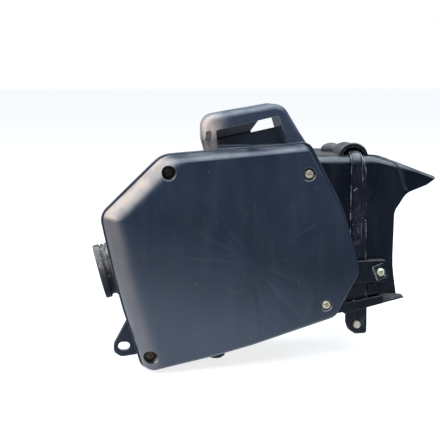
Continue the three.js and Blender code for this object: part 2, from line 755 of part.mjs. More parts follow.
function archProfile() {
  const points = [];
  for (const [[width, height], forwards] of [[ARCH.outer, true], [ARCH.inner, false]]) {
    for (let k = 0; k <= ARCH_STEPS; k += 1) {
      const angle = Math.PI * (forwards ? k / ARCH_STEPS : 1 - k / ARCH_STEPS);
      points.push(new THREE.Vector2(ARCH.x + width * Math.cos(angle), ARCH.z + height * Math.sin(angle)));
    }
  }
  return points;
}

function mudguard() {
  const caseRoom = prism(inset(CASE_BODY, -GUARD_CLEARANCE), -50, 300);
  const spineRoom = prism(inset(CASE_BODY, -GUARD_CLEARANCE - WALL), -50, 300);
  const cavity = guardBlock(WALL, -8).subtract(spineRoom);
  let guard = guardBlock(0, 0).subtract(caseRoom).subtract(cavity);

  // Arched tunnel over the stay, along the top, closed at the back.
  const archRing = (y) => archProfile().map((p) => new THREE.Vector3(p.x, y, p.y));
  const endRing = (y) => archRing(y).slice(0, ARCH_STEPS + 1);
  guard = guard.add(loft([ARCH.back, ARCH.front].map(archRing)));
  guard = guard.add(loft([ARCH.back, ARCH.back - 1.5].map(endRing)));

  // Strap across the stay with a foot on each side, the pad beside it, and the strap at the bottom.
  const { left, right, bottom, top, front, thickness } = STRAP;
  const ground = GUARD_NEAR + 1; // straps end inside the guard's wall
  const upper = box(left, right, front, front + thickness, bottom, top)
    .add(box(left, left + 2, front, ground, bottom, top))
    .add(box(right - thickness, right, front, ground, bottom, top));
  const pad = prism(PAD_OUTLINE, PAD.front, ground);
  const lower = prism(LOWER_STRAP, front, front + thickness);
  const feet = joined(LOWER_FEET.map((foot) => prism(foot, front + 0.5, ground + 0.5)));
  const lip = prism(LIP, front + 0.5, ground + 0.5);
  const web = prism(CORNER_WEB, front + thickness - 0.5, ground).subtract(caseRoom);
  guard = guard.add(upper).add(pad).add(lower).add(feet).add(lip).add(web);

  // Holes for the pad's screw, the top plug and the screws into the case.
  guard = guard.subtract(round(PAD.x, PAD.z, M5.clearance, 0, 60, 12));
  guard = guard.subtract(rod(new THREE.Vector3(PLUG.x, PLUG.y, 60), UP, PLUG.neck + GAP, 60, 16));
  for (const { middle, outward } of GUARD_SCREW_SITES) {
    guard = guard.subtract(rod(middle, outward, M5.clearance, 30, 12));
  }
  return guard;
}

addPart('mudguard', GUARD_PLASTIC, mudguard());
GUARD_SCREW_SITES.forEach(({ middle, outward }, i) => {
  const screw = addPart(`guard_case_screw_${i + 1}`, ZINC, hexBolt(14));
  placeFastener(screw, middle.clone().addScaledVector(outward, GUARD_CLEARANCE + WALL + GAP), outward);
});

function topPlug() {
  const profile = [
    [0, -5],
    [PLUG.neck, -5],
    [PLUG.neck, GAP],
    [PLUG.radius, GAP],
    [PLUG.radius, 2],
    [PLUG.radius * 0.85, 5.2],
    [PLUG.radius * 0.5, 8],
    [0, 9],
  ];
  return solid(new THREE.LatheGeometry(profile.map(([r, y]) => new THREE.Vector2(r, y)), 20));
}

const dome = addPart('top_plug', RUBBER, topPlug());
dome.position.set(PLUG.x, PLUG.y, GUARD_TOP);
dome.rotation.x = Math.PI / 2;

// ---- Stay ----

// The stay's strip between two x, from its lower end up, round the bend and back to its tail. A proud strip
// stands out from the plain one, ends where the bend ends, and starts at the given height.
function bentStrip(x0, x1, proud, bottom) {
  const { front, thickness, bend, tail } = STAY;
  const outer = bend + thickness;
  const inner = proud ? bend + thickness / 2 : bend;
  const bendY = front + outer;
  const bendZ = GUARD_TOP + 0.7 - bend;
  const end = proud ? bendY + 0.5 : tail;
  const steps = 6;
  const arc = (radius, k) => {
    const angle = Math.PI - (k / steps) * (Math.PI / 2);
    return [bendY + radius * Math.cos(angle), bendZ + radius * Math.sin(angle)];
  };
  const points = [[front - proud, bottom]];
  for (let k = 0; k <= steps; k += 1) {
    points.push(arc(outer + proud, k));
  }
  points.push([end, bendZ + outer + proud], [end, bendZ + inner]);
  for (let k = steps; k >= 0; k -= 1) {
    points.push(arc(inner, k));
  }
  points.push([bendY - inner, bottom]);
  const shape = new THREE.Shape(points.map(([y, z]) => new THREE.Vector2(y, z)));
  const strip = new THREE.ExtrudeGeometry(shape, { depth: x1 - x0, bevelEnabled: false });
  // The shape's own axes are y and z; turn them into the assembly's Y and Z.
  strip.applyMatrix4(new THREE.Matrix4().makeBasis(
    new THREE.Vector3(0, 1, 0),
    new THREE.Vector3(0, 0, 1),
    new THREE.Vector3(1, 0, 0),
  ));
  return solid(strip.translate(x0, 0, 0));
}

function stay() {
  const { left, right } = STAY;
  const face = [
    [106.8, -84, 2],
    [109.3, -91.8, 5],
    [117, -97.6, 6],
    [130, -97.4, 3],
    [130, -48, 8],
    [right, -42, 8],
    [right - 1.5, 74, 6],
    [STAY_TONGUE, 91, 6],
    [STAY_TONGUE, 120, 1],
    [left + 0.4, 120, 1],
    [left, 84, 1],
    [left, -44, 6],
    [106.8, -50, 6],
  ];
  const blank = bentStrip(face[0][0] - 1, right + 5, 0, -110).intersect(prism(face, 0, 100));

  // The bead's sides lean in along the upright part.
  const { left: beadLeft, right: beadRight, bottom, height, lean } = STAY_BEAD;
  const back = STAY.front + STAY.thickness;
  const corners = [
    [beadLeft, -20, 1],
    [beadRight, -20, 1],
    [beadRight, 120, 1],
    [beadLeft, 120, 1],
  ];
  const sides = prism(corners, back, STAY.front - height - 0.5, lean);
  const bentSides = box(beadLeft + lean / 2, beadRight - lean / 2, back - 1, STAY.tail, -20, 120);
  const bead = bentStrip(beadLeft, beadRight, height, bottom).intersect(sides.add(bentSides));
  return blank.add(bead).subtract(round(STAY_BOLT.x, STAY_BOLT.z, M5.clearance, 0, 60, 12));
}

addPart('guard_stay', BLACK_STEEL, stay());

const stayBolt = addPart('stay_bolt', ZINC, hexBolt(12, 3.9));
placeFastener(stayBolt, new THREE.Vector3(STAY_BOLT.x, STAY.front - GAP, STAY_BOLT.z), TO_COVER_SIDE);
const behindStay = STAY.front + STAY.thickness + GAP;
const stayNut = addPart('stay_weld_nut', BLACK_STEEL, nut());
placeFastener(stayNut, new THREE.Vector3(STAY_BOLT.x, behindStay, STAY_BOLT.z), TO_COVER_SIDE);

// Spring-steel clip nut, turned on the pad, and its screw.
const CLIP = 1.6;
const clipPlate = prism([[-7, -8, 1], [6.5, -8, 1], [6.5, 8, 1], [-7, 8, 1]], -CLIP, 0)
  .subtract(round(0, 0, M5.clearance, -5, 5, 12));
const clip = addPart('guard_clip_nut', BLACK_STEEL, clipPlate);
clip.position.set(PAD.x, PAD.front - GAP, PAD.z);
clip.rotation.y = THREE.MathUtils.degToRad(-20);
const guardScrew = addPart('guard_screw', YELLOW_ZINC, panScrew(14, 3.9));
placeFastener(guardScrew, new THREE.Vector3(PAD.x, PAD.front - 2 * GAP - CLIP, PAD.z), TO_COVER_SIDE);

// The origin is the centre of the assembly's box.
const centre = new THREE.Box3().setFromObject(housing).getCenter(new THREE.Vector3());
housing.position.copy(centre).negate();

export default housing;
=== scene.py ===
"""Air filter housing: the detailed visual model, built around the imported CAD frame.

Shapes are worked out in millimetres in the housing's own design coordinates (x to the rear, z up, the parting
plane between cover and case at y = 0) and moved into the frame, in metres, when a piece is finished.
"""

import math

import bmesh
import bpy
from mathutils import Matrix, Vector
from mathutils.bvhtree import BVHTree


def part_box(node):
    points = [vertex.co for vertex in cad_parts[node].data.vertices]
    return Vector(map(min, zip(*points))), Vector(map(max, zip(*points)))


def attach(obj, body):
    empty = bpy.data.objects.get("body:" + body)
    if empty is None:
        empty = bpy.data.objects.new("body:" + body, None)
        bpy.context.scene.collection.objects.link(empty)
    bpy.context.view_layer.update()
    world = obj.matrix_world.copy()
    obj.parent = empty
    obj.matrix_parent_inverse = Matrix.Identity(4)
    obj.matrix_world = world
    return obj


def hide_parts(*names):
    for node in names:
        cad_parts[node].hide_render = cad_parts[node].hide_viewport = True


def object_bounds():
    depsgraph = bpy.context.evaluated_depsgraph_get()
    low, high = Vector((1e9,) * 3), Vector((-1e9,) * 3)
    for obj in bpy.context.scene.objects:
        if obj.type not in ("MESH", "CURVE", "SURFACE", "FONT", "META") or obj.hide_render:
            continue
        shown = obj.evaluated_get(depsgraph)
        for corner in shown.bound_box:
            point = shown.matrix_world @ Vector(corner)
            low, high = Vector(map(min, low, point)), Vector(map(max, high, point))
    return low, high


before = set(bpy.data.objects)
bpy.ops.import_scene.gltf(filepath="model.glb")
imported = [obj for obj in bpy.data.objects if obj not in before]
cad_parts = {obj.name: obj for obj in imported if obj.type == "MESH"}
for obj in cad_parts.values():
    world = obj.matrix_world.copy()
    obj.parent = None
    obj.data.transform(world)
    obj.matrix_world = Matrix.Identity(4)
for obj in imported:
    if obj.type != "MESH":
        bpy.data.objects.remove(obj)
CAD_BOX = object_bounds()

# ---- Driving dimensions, in millimetres ----

MM = 0.001
GAP = 0.3
WALL = 2.5
ARC_STEP = math.radians(7)  # largest turn between two points of a rounded corner
BARELY_ROUND = 0.01  # radius of a corner that counts as sharp
ROUNDING = 1e-6

# Corners are (x, z, corner radius), counter-clockwise as seen from the cover side.
COVER_RIM = [
    (-107.5, -120.3, 9),
    (-17, -103.2, 400),
    (88, -72.5, 12),
    (114, -26, 18),
    (100, 24.5, 150),
    (56, 106, 9),
    (-86.5, 95.2, 24),
    (-147.6, 36.5, 15),
    (-131.5, -40, 400),
]
COVER_SLOPE = [7, 7, 4, 3.5, 3.5, 8, 20, 26, 26]
FACE_DEPTH = 19.6
FACE_TILT = -0.08
RIM_EDGE = 0.7
FLANGE_SPREAD = [0.8, 0.8, 0.8, 1.6, 5, 1.2, 2, 2, 2]
FLANGE_THICKNESS = 8
SCREW_FLOOR = -9.5
WALL_SPREAD = 2.2  # how far the cover's rings lean in for each millimetre of wall
SCREW_FUNNEL = 2.9  # width and depth of the cone around a screw's recess
COVER_SCREWS = [(-83, 80, 7), (58, 76, 6.2), (-102, -103, 7), (77.5, -57.5, 5.6)]
RIB_CENTRE = (-1.3, -10)
RIB_COUNT = 14
RIB_TURN = math.radians(-27)

CASE_BODY = [
    (-104, -113, 10),
    (82, -67, 12),
    (107.3, -27, 14),
    (95, 22, 60),
    (57, 98.5, 8),
    (-84, 90.5, 22),
    (-142, 34, 12),
]
CASE_DRAFT = [3, 0, 0, 0, 3, 3, 0]
CASE_BACK = 97
PARTITION_Y, PARTITION_X, PARTITION = 20, 30, 2.4
BACK_SCREWS = [(-98, -102), (-10, -82), (78, -60), (90, 20), (52, 86), (-30, 84), (-82, 80), (-132, 30)]
BACK_COVER_DEPTH = 7

ELEMENT_X, ELEMENT_Z, ELEMENT_WIDTH, ELEMENT_HEIGHT = -42, -11, 122, 136
ELEMENT_RIM, ELEMENT_FRONT, ELEMENT_BACK, PLEATS = 11, -6, 17.2, 20

TUBE_Z, TUBE_Y, TUBE_BORE, TUBE_NECK, TUBE_REACH = -24, 54, 22, 25.6, 23.4

SNORKEL_FRONT, SNORKEL_BACK, SNORKEL_WALL, SNORKEL_BASE = 2, 47, 2.2, 104
SNORKEL_LOOP = [
    (-42.5, 90, 1),
    (70, 90, 1),
    (51.4, 117.3, 60),
    (33.5, 146.5, 16),
    (-48, 132.8, 27),
    (-48, 109, 9),
]
SNORKEL_TAPER = [0, 0, 0, 0, 3.5, 3.5]
SNORKEL_WINDOW = [(-32, 101, 1.5), (38.4, 104.5, 1.5), (29.5, 133.4, 2), (-33.8, 119.2, 2)]
SNORKEL_PANEL = [
    (-34, 92, 0.5),
    (42, 92, 0.5),
    (36, 122.5, 0.5),
    (31.2, 121.9, 0.5),
    (-24, 110.3, 0.5),
    (-34, 108.5, 0.5),
]
SNORKEL_PARTITION = [(-34.5, 92, 0.5), (5, 92, 0.5), (5, 118, 1), (15, 131, 0.5), (-34.5, 120.5, 0.5)]
SNORKEL_RECESS = [(-44.5, 108, 2.5), (-38.5, 108, 2.5), (-37.5, 119, 2.8), (-43.5, 119, 2.8)]
RECESS_DEPTH = 3.6
SNORKEL_SCREWS = [(-36, 28, 93.2), (0, 42, 95.2)]

GUARD_NEAR, GUARD_FAR, GUARD_SHOULDER, GUARD_TOP = 25, 145, 11, 91.5
GUARD_CLEARANCE = 0.4
GUARD_SIDE = [
    (84, -71.5, 1),
    (162.5, -57.5, 2),
    (157.5, -25, 120),
    (158.5, 32, 16),
    (171, 51, 16),
    (193, 59.5, 8),
    (204.5, 67.5, 1),
    (158, 85, 30),
    (132, 91.5, 60),
    (50, 91.5, 1),
]
GUARD_OPEN_EDGES = range(6)
GUARD_TOP_EDGES = {6: 0.3, 7: 0.7, 8: 1}  # share of the shoulder's height along each top edge
ARCH_X, ARCH_Z, ARCH_FRONT, ARCH_BACK, ARCH_STEPS = 114.6, 89.5, 31, 66, 24
ARCH_INNER, ARCH_OUTER = (11.4, 10.2), (14.6, 13.3)  # half width and height of the half ellipses
BEAD_RADIUS = 1.3  # of the ridge on the side and the rolled edge of the arch
PLUG_X, PLUG_Y, PLUG_RADIUS, PLUG_NECK = 106, 90, 11.5, 6
GUARD_RIDGE = [
    (129, 90.6),
    (139, 89.6),
    (147, 87.6),
    (154, 84.6),
    (160, 80.6),
    (163.4, 75.5),
    (165.6, 69),
    (168, 61),
    (171, 54.5),
]
PAD_X, PAD_Z, PAD_FRONT = 142, -30.5, 18
STRAP_FRONT, STRAP_BACK = 16.5, 19

STAY_LEFT, STAY_RIGHT, STAY_FRONT, STAY_THICKNESS, STAY_BEND, STAY_TAIL = 110.3, 128.3, 22.4, 2, 11.6, 64
STAY_TONGUE = 122.6
BEAD_LEFT, BEAD_RIGHT, BEAD_BOTTOM, BEAD_HEIGHT = 110.9, 122.3, -3, 1.7
STAY_BOLT = (119, -87.5)
EAR_X, EAR_Z, EAR_Y = -126.5, -101, 18
EAR = [(14, -9, 4), (20, 26, 1), (3, 28, 2), (-10.5, 3, 9), (-10.5, -6, 6), (-3, -11, 7)]  # about its hole
DRAIN_X, DRAIN_Y, DRAIN_RADIUS, DRAIN_Z = -31.5, 22, 8, -110

UP = Vector((0, 0, 1))
ALONG_Y = Vector((0, 1, 0))
TO_COVER_SIDE = -ALONG_Y
SHAFT, CLEARANCE, PAN, PAN_HEIGHT, HEX, NUT = 2.4, 2.75, 4.7, 3.2, 4.6, 4.4


def box_centre(node):
    low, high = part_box(node)
    return (low + high) / 2


# The design origin in the frame: the stay's bolt gives x and z, and the gasket starts at y = 0.
ORIGIN = Vector(
    (
        box_centre("stay_bolt").x - STAY_BOLT[0] * MM,
        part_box("cover_gasket")[0].y,
        box_centre("stay_bolt").z - STAY_BOLT[1] * MM,
    )
)
TO_FRAME = Matrix.Translation(ORIGIN) @ Matrix.Scale(MM, 4)

# ---- Camera ----

VIEW_AZIMUTH = math.radians(-8)
VIEW_ELEVATION = math.radians(8)
VIEW_DISTANCE = 1.0
VIEW_AIM = TO_FRAME @ Vector((-30, 0, 30))
SENSOR = 36
FOCAL_RATIO = 1000 / 440  # focal length over the width of the frame


def add_camera():
    data = bpy.data.cameras.new("camera")
    data.sensor_width = SENSOR
    data.lens = SENSOR * FOCAL_RATIO
    data.clip_start = 0.01
    data.clip_end = 60
    camera = bpy.data.objects.new("camera", data)
    bpy.context.scene.collection.objects.link(camera)
    back = Vector(
        (
            math.sin(VIEW_AZIMUTH) * math.cos(VIEW_ELEVATION),
            -math.cos(VIEW_AZIMUTH) * math.cos(VIEW_ELEVATION),
            math.sin(VIEW_ELEVATION),
        )
    )
    camera.location = VIEW_AIM + back * VIEW_DISTANCE
    camera.rotation_euler = back.to_track_quat("Z", "Y").to_euler()
    bpy.context.scene.camera = camera


add_camera()

# ---- Outlines ----


def outline(corners, step=ARC_STEP):
    """Rounds each corner of a closed polygon with an arc and returns 2-D points."""
    points = []
    for i, (x, z, radius) in enumerate(corners):
        here = Vector((x, z))
        back = Vector(corners[i - 1][:2]) - here
        ahead = Vector(corners[(i + 1) % len(corners)][:2]) - here
        half = back.angle(ahead) / 2
        reach = min(radius / math.tan(half), 0.49 * back.length, 0.49 * ahead.length)
        side = ahead.x * back.y - ahead.y * back.x
        turn = math.copysign(math.pi - 2 * half, side)
        steps = max(1, math.ceil(abs(turn) / step - ROUNDING))
        bisector = back.normalized() + ahead.normalized()
        centre = here + bisector.normalized() * reach / math.cos(half)
        arm = here + back.normalized() * reach - centre
        for k in range(steps + 1):
            spin = Matrix.Rotation(turn * k / steps, 2)
            points.append(centre + spin @ arm)
    return points


def inset(corners, amount):
    """Moves the edges of a polygon inwards by one amount or one amount per edge; edge i follows corner i."""
    count = len(corners)
    amounts = list(amount) if isinstance(amount, (list, tuple)) else [amount] * count
    edges = []
    for i, (x, z, _) in enumerate(corners):
        along = (Vector(corners[(i + 1) % count][:2]) - Vector((x, z))).normalized()
        inward = Vector((-along.y, along.x))
        edges.append((Vector((x, z)) + inward * amounts[i], along))
    moved = []
    for i, (_, _, radius) in enumerate(corners):
        start, along = edges[i - 1]
        other, after = edges[i]
        bend = along.x * after.y - along.y * after.x
        gap = other - start
        travel = (gap.x * after.y - gap.y * after.x) / bend
        point = start + along * travel
        tightened = radius - math.copysign(1, bend) * (amounts[i - 1] + amounts[i]) / 2
        moved.append((point.x, point.y, max(tightened, 0.4)))
    return moved


def spread(corners, amount):
    return inset(corners, [-a for a in amount] if isinstance(amount, (list, tuple)) else -amount)


# ---- Solids: temporary mesh objects in millimetres ----


def to_object(shape, name="work"):
    bmesh.ops.recalc_face_normals(shape, faces=shape.faces)
    mesh = bpy.data.meshes.new(name)
    shape.to_mesh(mesh)
    shape.free()
    piece = bpy.data.objects.new(name, mesh)
    bpy.context.scene.collection.objects.link(piece)
    return piece


def ring(corners, y, step=ARC_STEP):
    """The rounded outline as points at one y, or at a y that depends on x."""
    height = y if callable(y) else lambda x: y
    return [Vector((p.x, height(p.x), p.y)) for p in outline(corners, step)]


def loft(rings):
    """Joins closed rings with equal numbers of points and caps both ends."""
    shape = bmesh.new()
    rows = [[shape.verts.new(point) for point in points] for points in rings]
    for lower, upper in zip(rows, rows[1:]):
        for i in range(len(lower)):
            j = (i + 1) % len(lower)
            shape.faces.new((lower[i], lower[j], upper[j], upper[i]))
    shape.faces.new(rows[0])
    shape.faces.new(rows[-1])
    return to_object(shape)


def prism(corners, y0, y1, taper=0, rounded=0, rounded_end=None, step=ARC_STEP):
    """A solid between two heights, with the edges of both ends rounded by the given radii."""
    end = rounded if rounded_end is None else rounded_end
    direction = 1 if y1 > y0 else -1
    tapers = list(taper) if isinstance(taper, (list, tuple)) else [taper] * len(corners)
    heights = []
    turns = 3 if max(rounded, end) < 2 else 7  # more steps for a large radius
    for k in range(turns + 1 if rounded else 1):
        angle = k / turns * math.pi / 2
        heights.append((y0 + direction * rounded * (1 - math.cos(angle)), rounded * (1 - math.sin(angle))))
    for k in range(turns, -1, -1) if end else [0]:
        angle = k / turns * math.pi / 2
        heights.append((y1 - direction * end * (1 - math.cos(angle)), end * (1 - math.sin(angle))))
    rings = []
    for y, shrink in heights:
        share = (y - y0) / (y1 - y0)
        rings.append(ring(inset(corners, [t * share + shrink for t in tapers]), y, step))
    return loft(rings)


def rectangle(x0, x1, z0, z1, radius):
    return [(x0, z0, radius), (x1, z0, radius), (x1, z1, radius), (x0, z1, radius)]


def box(x0, x1, y0, y1, z0, z1):
    return prism(rectangle(x0, x1, z0, z1, BARELY_ROUND), y0, y1, step=math.pi)


def between(points, y0, y1):
    """A solid between two y with an outline of plain (x, z) points."""
    return loft([[Vector((x, y, z)) for x, z in points] for y in (y0, y1)])


def lathe(profile, at=(0, 0, 0), direction=(0, 0, 1), sides=48):
    """Turns (radius, height) points about an axis; radius 0 closes the shape on its axis."""
    shape = bmesh.new()
    spin = Vector((0, 0, 1)).rotation_difference(Vector(direction)).to_matrix()
    rows = []
    for radius, height in profile:
        if radius == 0:
            rows.append([shape.verts.new(Vector(at) + spin @ Vector((0, 0, height)))])
            continue
        row = []
        for i in range(sides):
            angle = 2 * math.pi * i / sides
            local = Vector((radius * math.cos(angle), radius * math.sin(angle), height))
            row.append(shape.verts.new(Vector(at) + spin @ local))
        rows.append(row)
    closes = profile[0][0] != 0
    pairs = list(zip(rows, rows[1:])) + ([(rows[-1], rows[0])] if closes else [])
    for lower, upper in pairs:
        for i in range(sides):
            j = (i + 1) % sides
            corners = [row[k % len(row)] for row, k in ((lower, i), (lower, j), (upper, j), (upper, i))]
            shape.faces.new(list(dict.fromkeys(corners)))
    return to_object(shape)


def rod(at, direction, radius, length, sides=32):
    return lathe([(0, 0), (radius, 0), (radius, length), (0, length)], at, direction, sides)


def round_y(x, z, radius, y0, y1, sides=40):
    return rod((x, y0, z), (0, 1, 0), radius, y1 - y0, sides)


def apply(piece):
    """Makes the modifiers' result the piece's own mesh."""
    bpy.context.view_layer.update()
    graph = bpy.context.evaluated_depsgraph_get()
    mesh = bpy.data.meshes.new_from_object(piece.evaluated_get(graph))
    old = piece.data
    piece.modifiers.clear()
    piece.data = mesh
    bpy.data.meshes.remove(old)
    return piece


def combine(base, operation, tools):
    for tool in tools:
        modifier = base.modifiers.new("combine", "BOOLEAN")
        modifier.operation = operation
        modifier.solver = "MANIFOLD"
        modifier.object = tool
    apply(base)
    for tool in tools:
        mesh = tool.data
        bpy.data.objects.remove(tool)
        bpy.data.meshes.remove(mesh)
    return base


def join(base, *tools):
    return combine(base, "UNION", tools)


def cut(base, *tools):
    return combine(base, "DIFFERENCE", tools)


def keep(base, *tools):
    return combine(base, "INTERSECT", tools)


def finished(piece, name, body, material, nodes, bevel=0.35, segments=2):
    """Rounds the sharp edges, moves the piece into the frame, names it, gives it its material, hangs it on
    its body and hides the CAD nodes it replaces.
    """
    if bevel:
        modifier = piece.modifiers.new("edges", "BEVEL")
        modifier.width = bevel
        modifier.segments = segments
        modifier.limit_method = "ANGLE"
        modifier.angle_limit = math.radians(32)
        modifier.use_clamp_overlap = True
        modifier.miter_outer = "MITER_ARC"
        apply(piece)
    piece.data.transform(TO_FRAME)
    for polygon in piece.data.polygons:
        polygon.use_smooth = True
    piece.data.set_sharp_from_angle(angle=math.radians(40))
    normals = piece.modifiers.new("normals", "WEIGHTED_NORMAL")
    normals.keep_sharp = True
    apply(piece)
    piece.name = name
    piece.data.name = name
    piece.data.materials.clear()
    piece.data.materials.append(material)
    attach(piece, body)
    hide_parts(*nodes)


# ---- Materials ----


class Graph:
    """Short calls for building the nodes of a material or of the world."""

    def __init__(self, owner):
        owner.use_nodes = True
        self.owner = owner
        self.tree = owner.node_tree
        self.coordinates = self.add("ShaderNodeTexCoord").outputs["Object"]
        self.normal = self.add("ShaderNodeNewGeometry").outputs["Normal"]

    def add(self, kind, inputs=None, **settings):
        node = self.tree.nodes.new(kind)
        for key, value in settings.items():
            setattr(node, key, value)
        for key, value in (inputs or {}).items():
            self.put(node.inputs[key], value)
        return node

    def put(self, socket, value):
        if isinstance(value, bpy.types.NodeSocket):
            self.tree.links.new(value, socket)
        else:
            socket.default_value = value

    def math(self, operation, a, b=0.0, clamp=False):
        node = self.add("ShaderNodeMath", {0: a, 1: b}, operation=operation, use_clamp=clamp)
        return node.outputs[0]

    def times(self, a, b):
        return self.math("MULTIPLY", a, b)

    def axis(self, vector, name):
        return self.add("ShaderNodeSeparateXYZ", {0: vector}).outputs[name]

    def place(self, scale=(1, 1, 1), turn=(0, 0, 0), shift=(0, 0, 0), vector=None):
        settings = {"Vector": vector or self.coordinates, "Scale": scale, "Rotation": turn, "Location": shift}
        return self.add("ShaderNodeMapping", settings).outputs["Vector"]

    def noise(self, scale, detail=3.0, where=None, roughness=0.55):
        vector = self.coordinates if where is None else where
        settings = {"Vector": vector, "Scale": scale, "Detail": detail, "Roughness": roughness}
        return self.add("ShaderNodeTexNoise", settings).outputs["Fac"]

    def fade(self, value, low, high, start=0.0, end=1.0):
        settings = {"Value": value, "From Min": low, "From Max": high, "To Min": start, "To Max": end}
        return self.add("ShaderNodeMapRange", settings, interpolation_type="SMOOTHSTEP").outputs["Result"]

    def mix(self, factor, a, b):
        node = self.add("ShaderNodeMix", data_type="RGBA")
        self.put(node.inputs["Factor"], factor)
        self.put(node.inputs[6], a if isinstance(a, bpy.types.NodeSocket) else (*a, 1))
        self.put(node.inputs[7], b if isinstance(b, bpy.types.NodeSocket) else (*b, 1))
        return node.outputs[2]

    def layer(self, colour, mask, share, over):
        """A colour with a share of another one over it where the mask is 1."""
        return self.mix(self.times(mask, share), colour, over)

    def specks(self, scale, size, share, shift=0.0):
        """Small round spots in some of the cells of a Voronoi pattern."""
        where = self.place(shift=(shift, shift, shift))
        cells = self.add("ShaderNodeTexVoronoi", {"Vector": where, "Scale": scale})
        spot = self.fade(cells.outputs["Distance"], size, size * 0.5)
        chosen = self.add("ShaderNodeSeparateColor", {0: cells.outputs["Color"]}).outputs[0]
        return self.times(spot, self.math("LESS_THAN", chosen, share))

    def scratches(self, length, width, turn, amount, shift=0.0):
        """Sparse thin lines along one direction, broken up by a wider noise."""
        bent = self.add("ShaderNodeTexNoise", {"Vector": self.coordinates, "Scale": 9.0}).outputs["Color"]
        offset = self.add("ShaderNodeVectorMath", {0: bent, "Scale": 0.05}, operation="SCALE").outputs[0]
        terms = {0: self.coordinates, 1: offset}
        warped = self.add("ShaderNodeVectorMath", terms, operation="ADD").outputs[0]
        stretch = (1 / width, 1 / width, 1 / length)
        lines = self.noise(1.0, 1.0, self.place(stretch, turn, (shift, shift, 0), warped))
        sparse = self.noise(1.3 / length, 2.0, self.place(shift=(shift + 3, shift, 1)))
        edge = self.fade(lines, 0.80 - 0.13 * amount, 0.84 - 0.13 * amount)
        return self.times(edge, self.fade(sparse, 0.5, 0.62))

    def edges(self, radius):
        """1 on edges and corners, 0 on flats."""
        rounded = self.add("ShaderNodeBevel", {"Radius": radius}, samples=6).outputs["Normal"]
        return self.fade(self.dot(rounded, self.normal), 0.985, 0.86)

    def dot(self, a, b):
        return self.add("ShaderNodeVectorMath", {0: a, 1: b}, operation="DOT_PRODUCT").outputs["Value"]

    def facing_up(self, low, high):
        return self.fade(self.axis(self.normal, "Z"), low, high)

    def bump(self, height, strength, distance, under=None):
        settings = {"Height": height, "Strength": strength, "Distance": distance}
        if under is not None:
            settings["Normal"] = under
        return self.add("ShaderNodeBump", settings).outputs["Normal"]

    def finish(self, **values):
        """Sets inputs of the surface shader, with _ for a space in a name, and returns the material."""
        for key, value in values.items():
            self.put(self.tree.nodes["Principled BSDF"].inputs[key.replace("_", " ")], value)
        return self.owner


DUST = (0.26, 0.235, 0.205)
PALE_DUST = (0.42, 0.40, 0.37)
# Warm dust; on the left-facing slopes it also serves as a painted highlight.
WARM_DUST_AND_HIGHLIGHT = (0.40, 0.315, 0.265)
# A pale blue-grey used as painted light: a painted reflection low on the cover and painted light on recessed
# walls.
PAINTED_LIGHT_TINT = (0.20, 0.22, 0.27)
BROWN_DUST = (0.11, 0.085, 0.065)


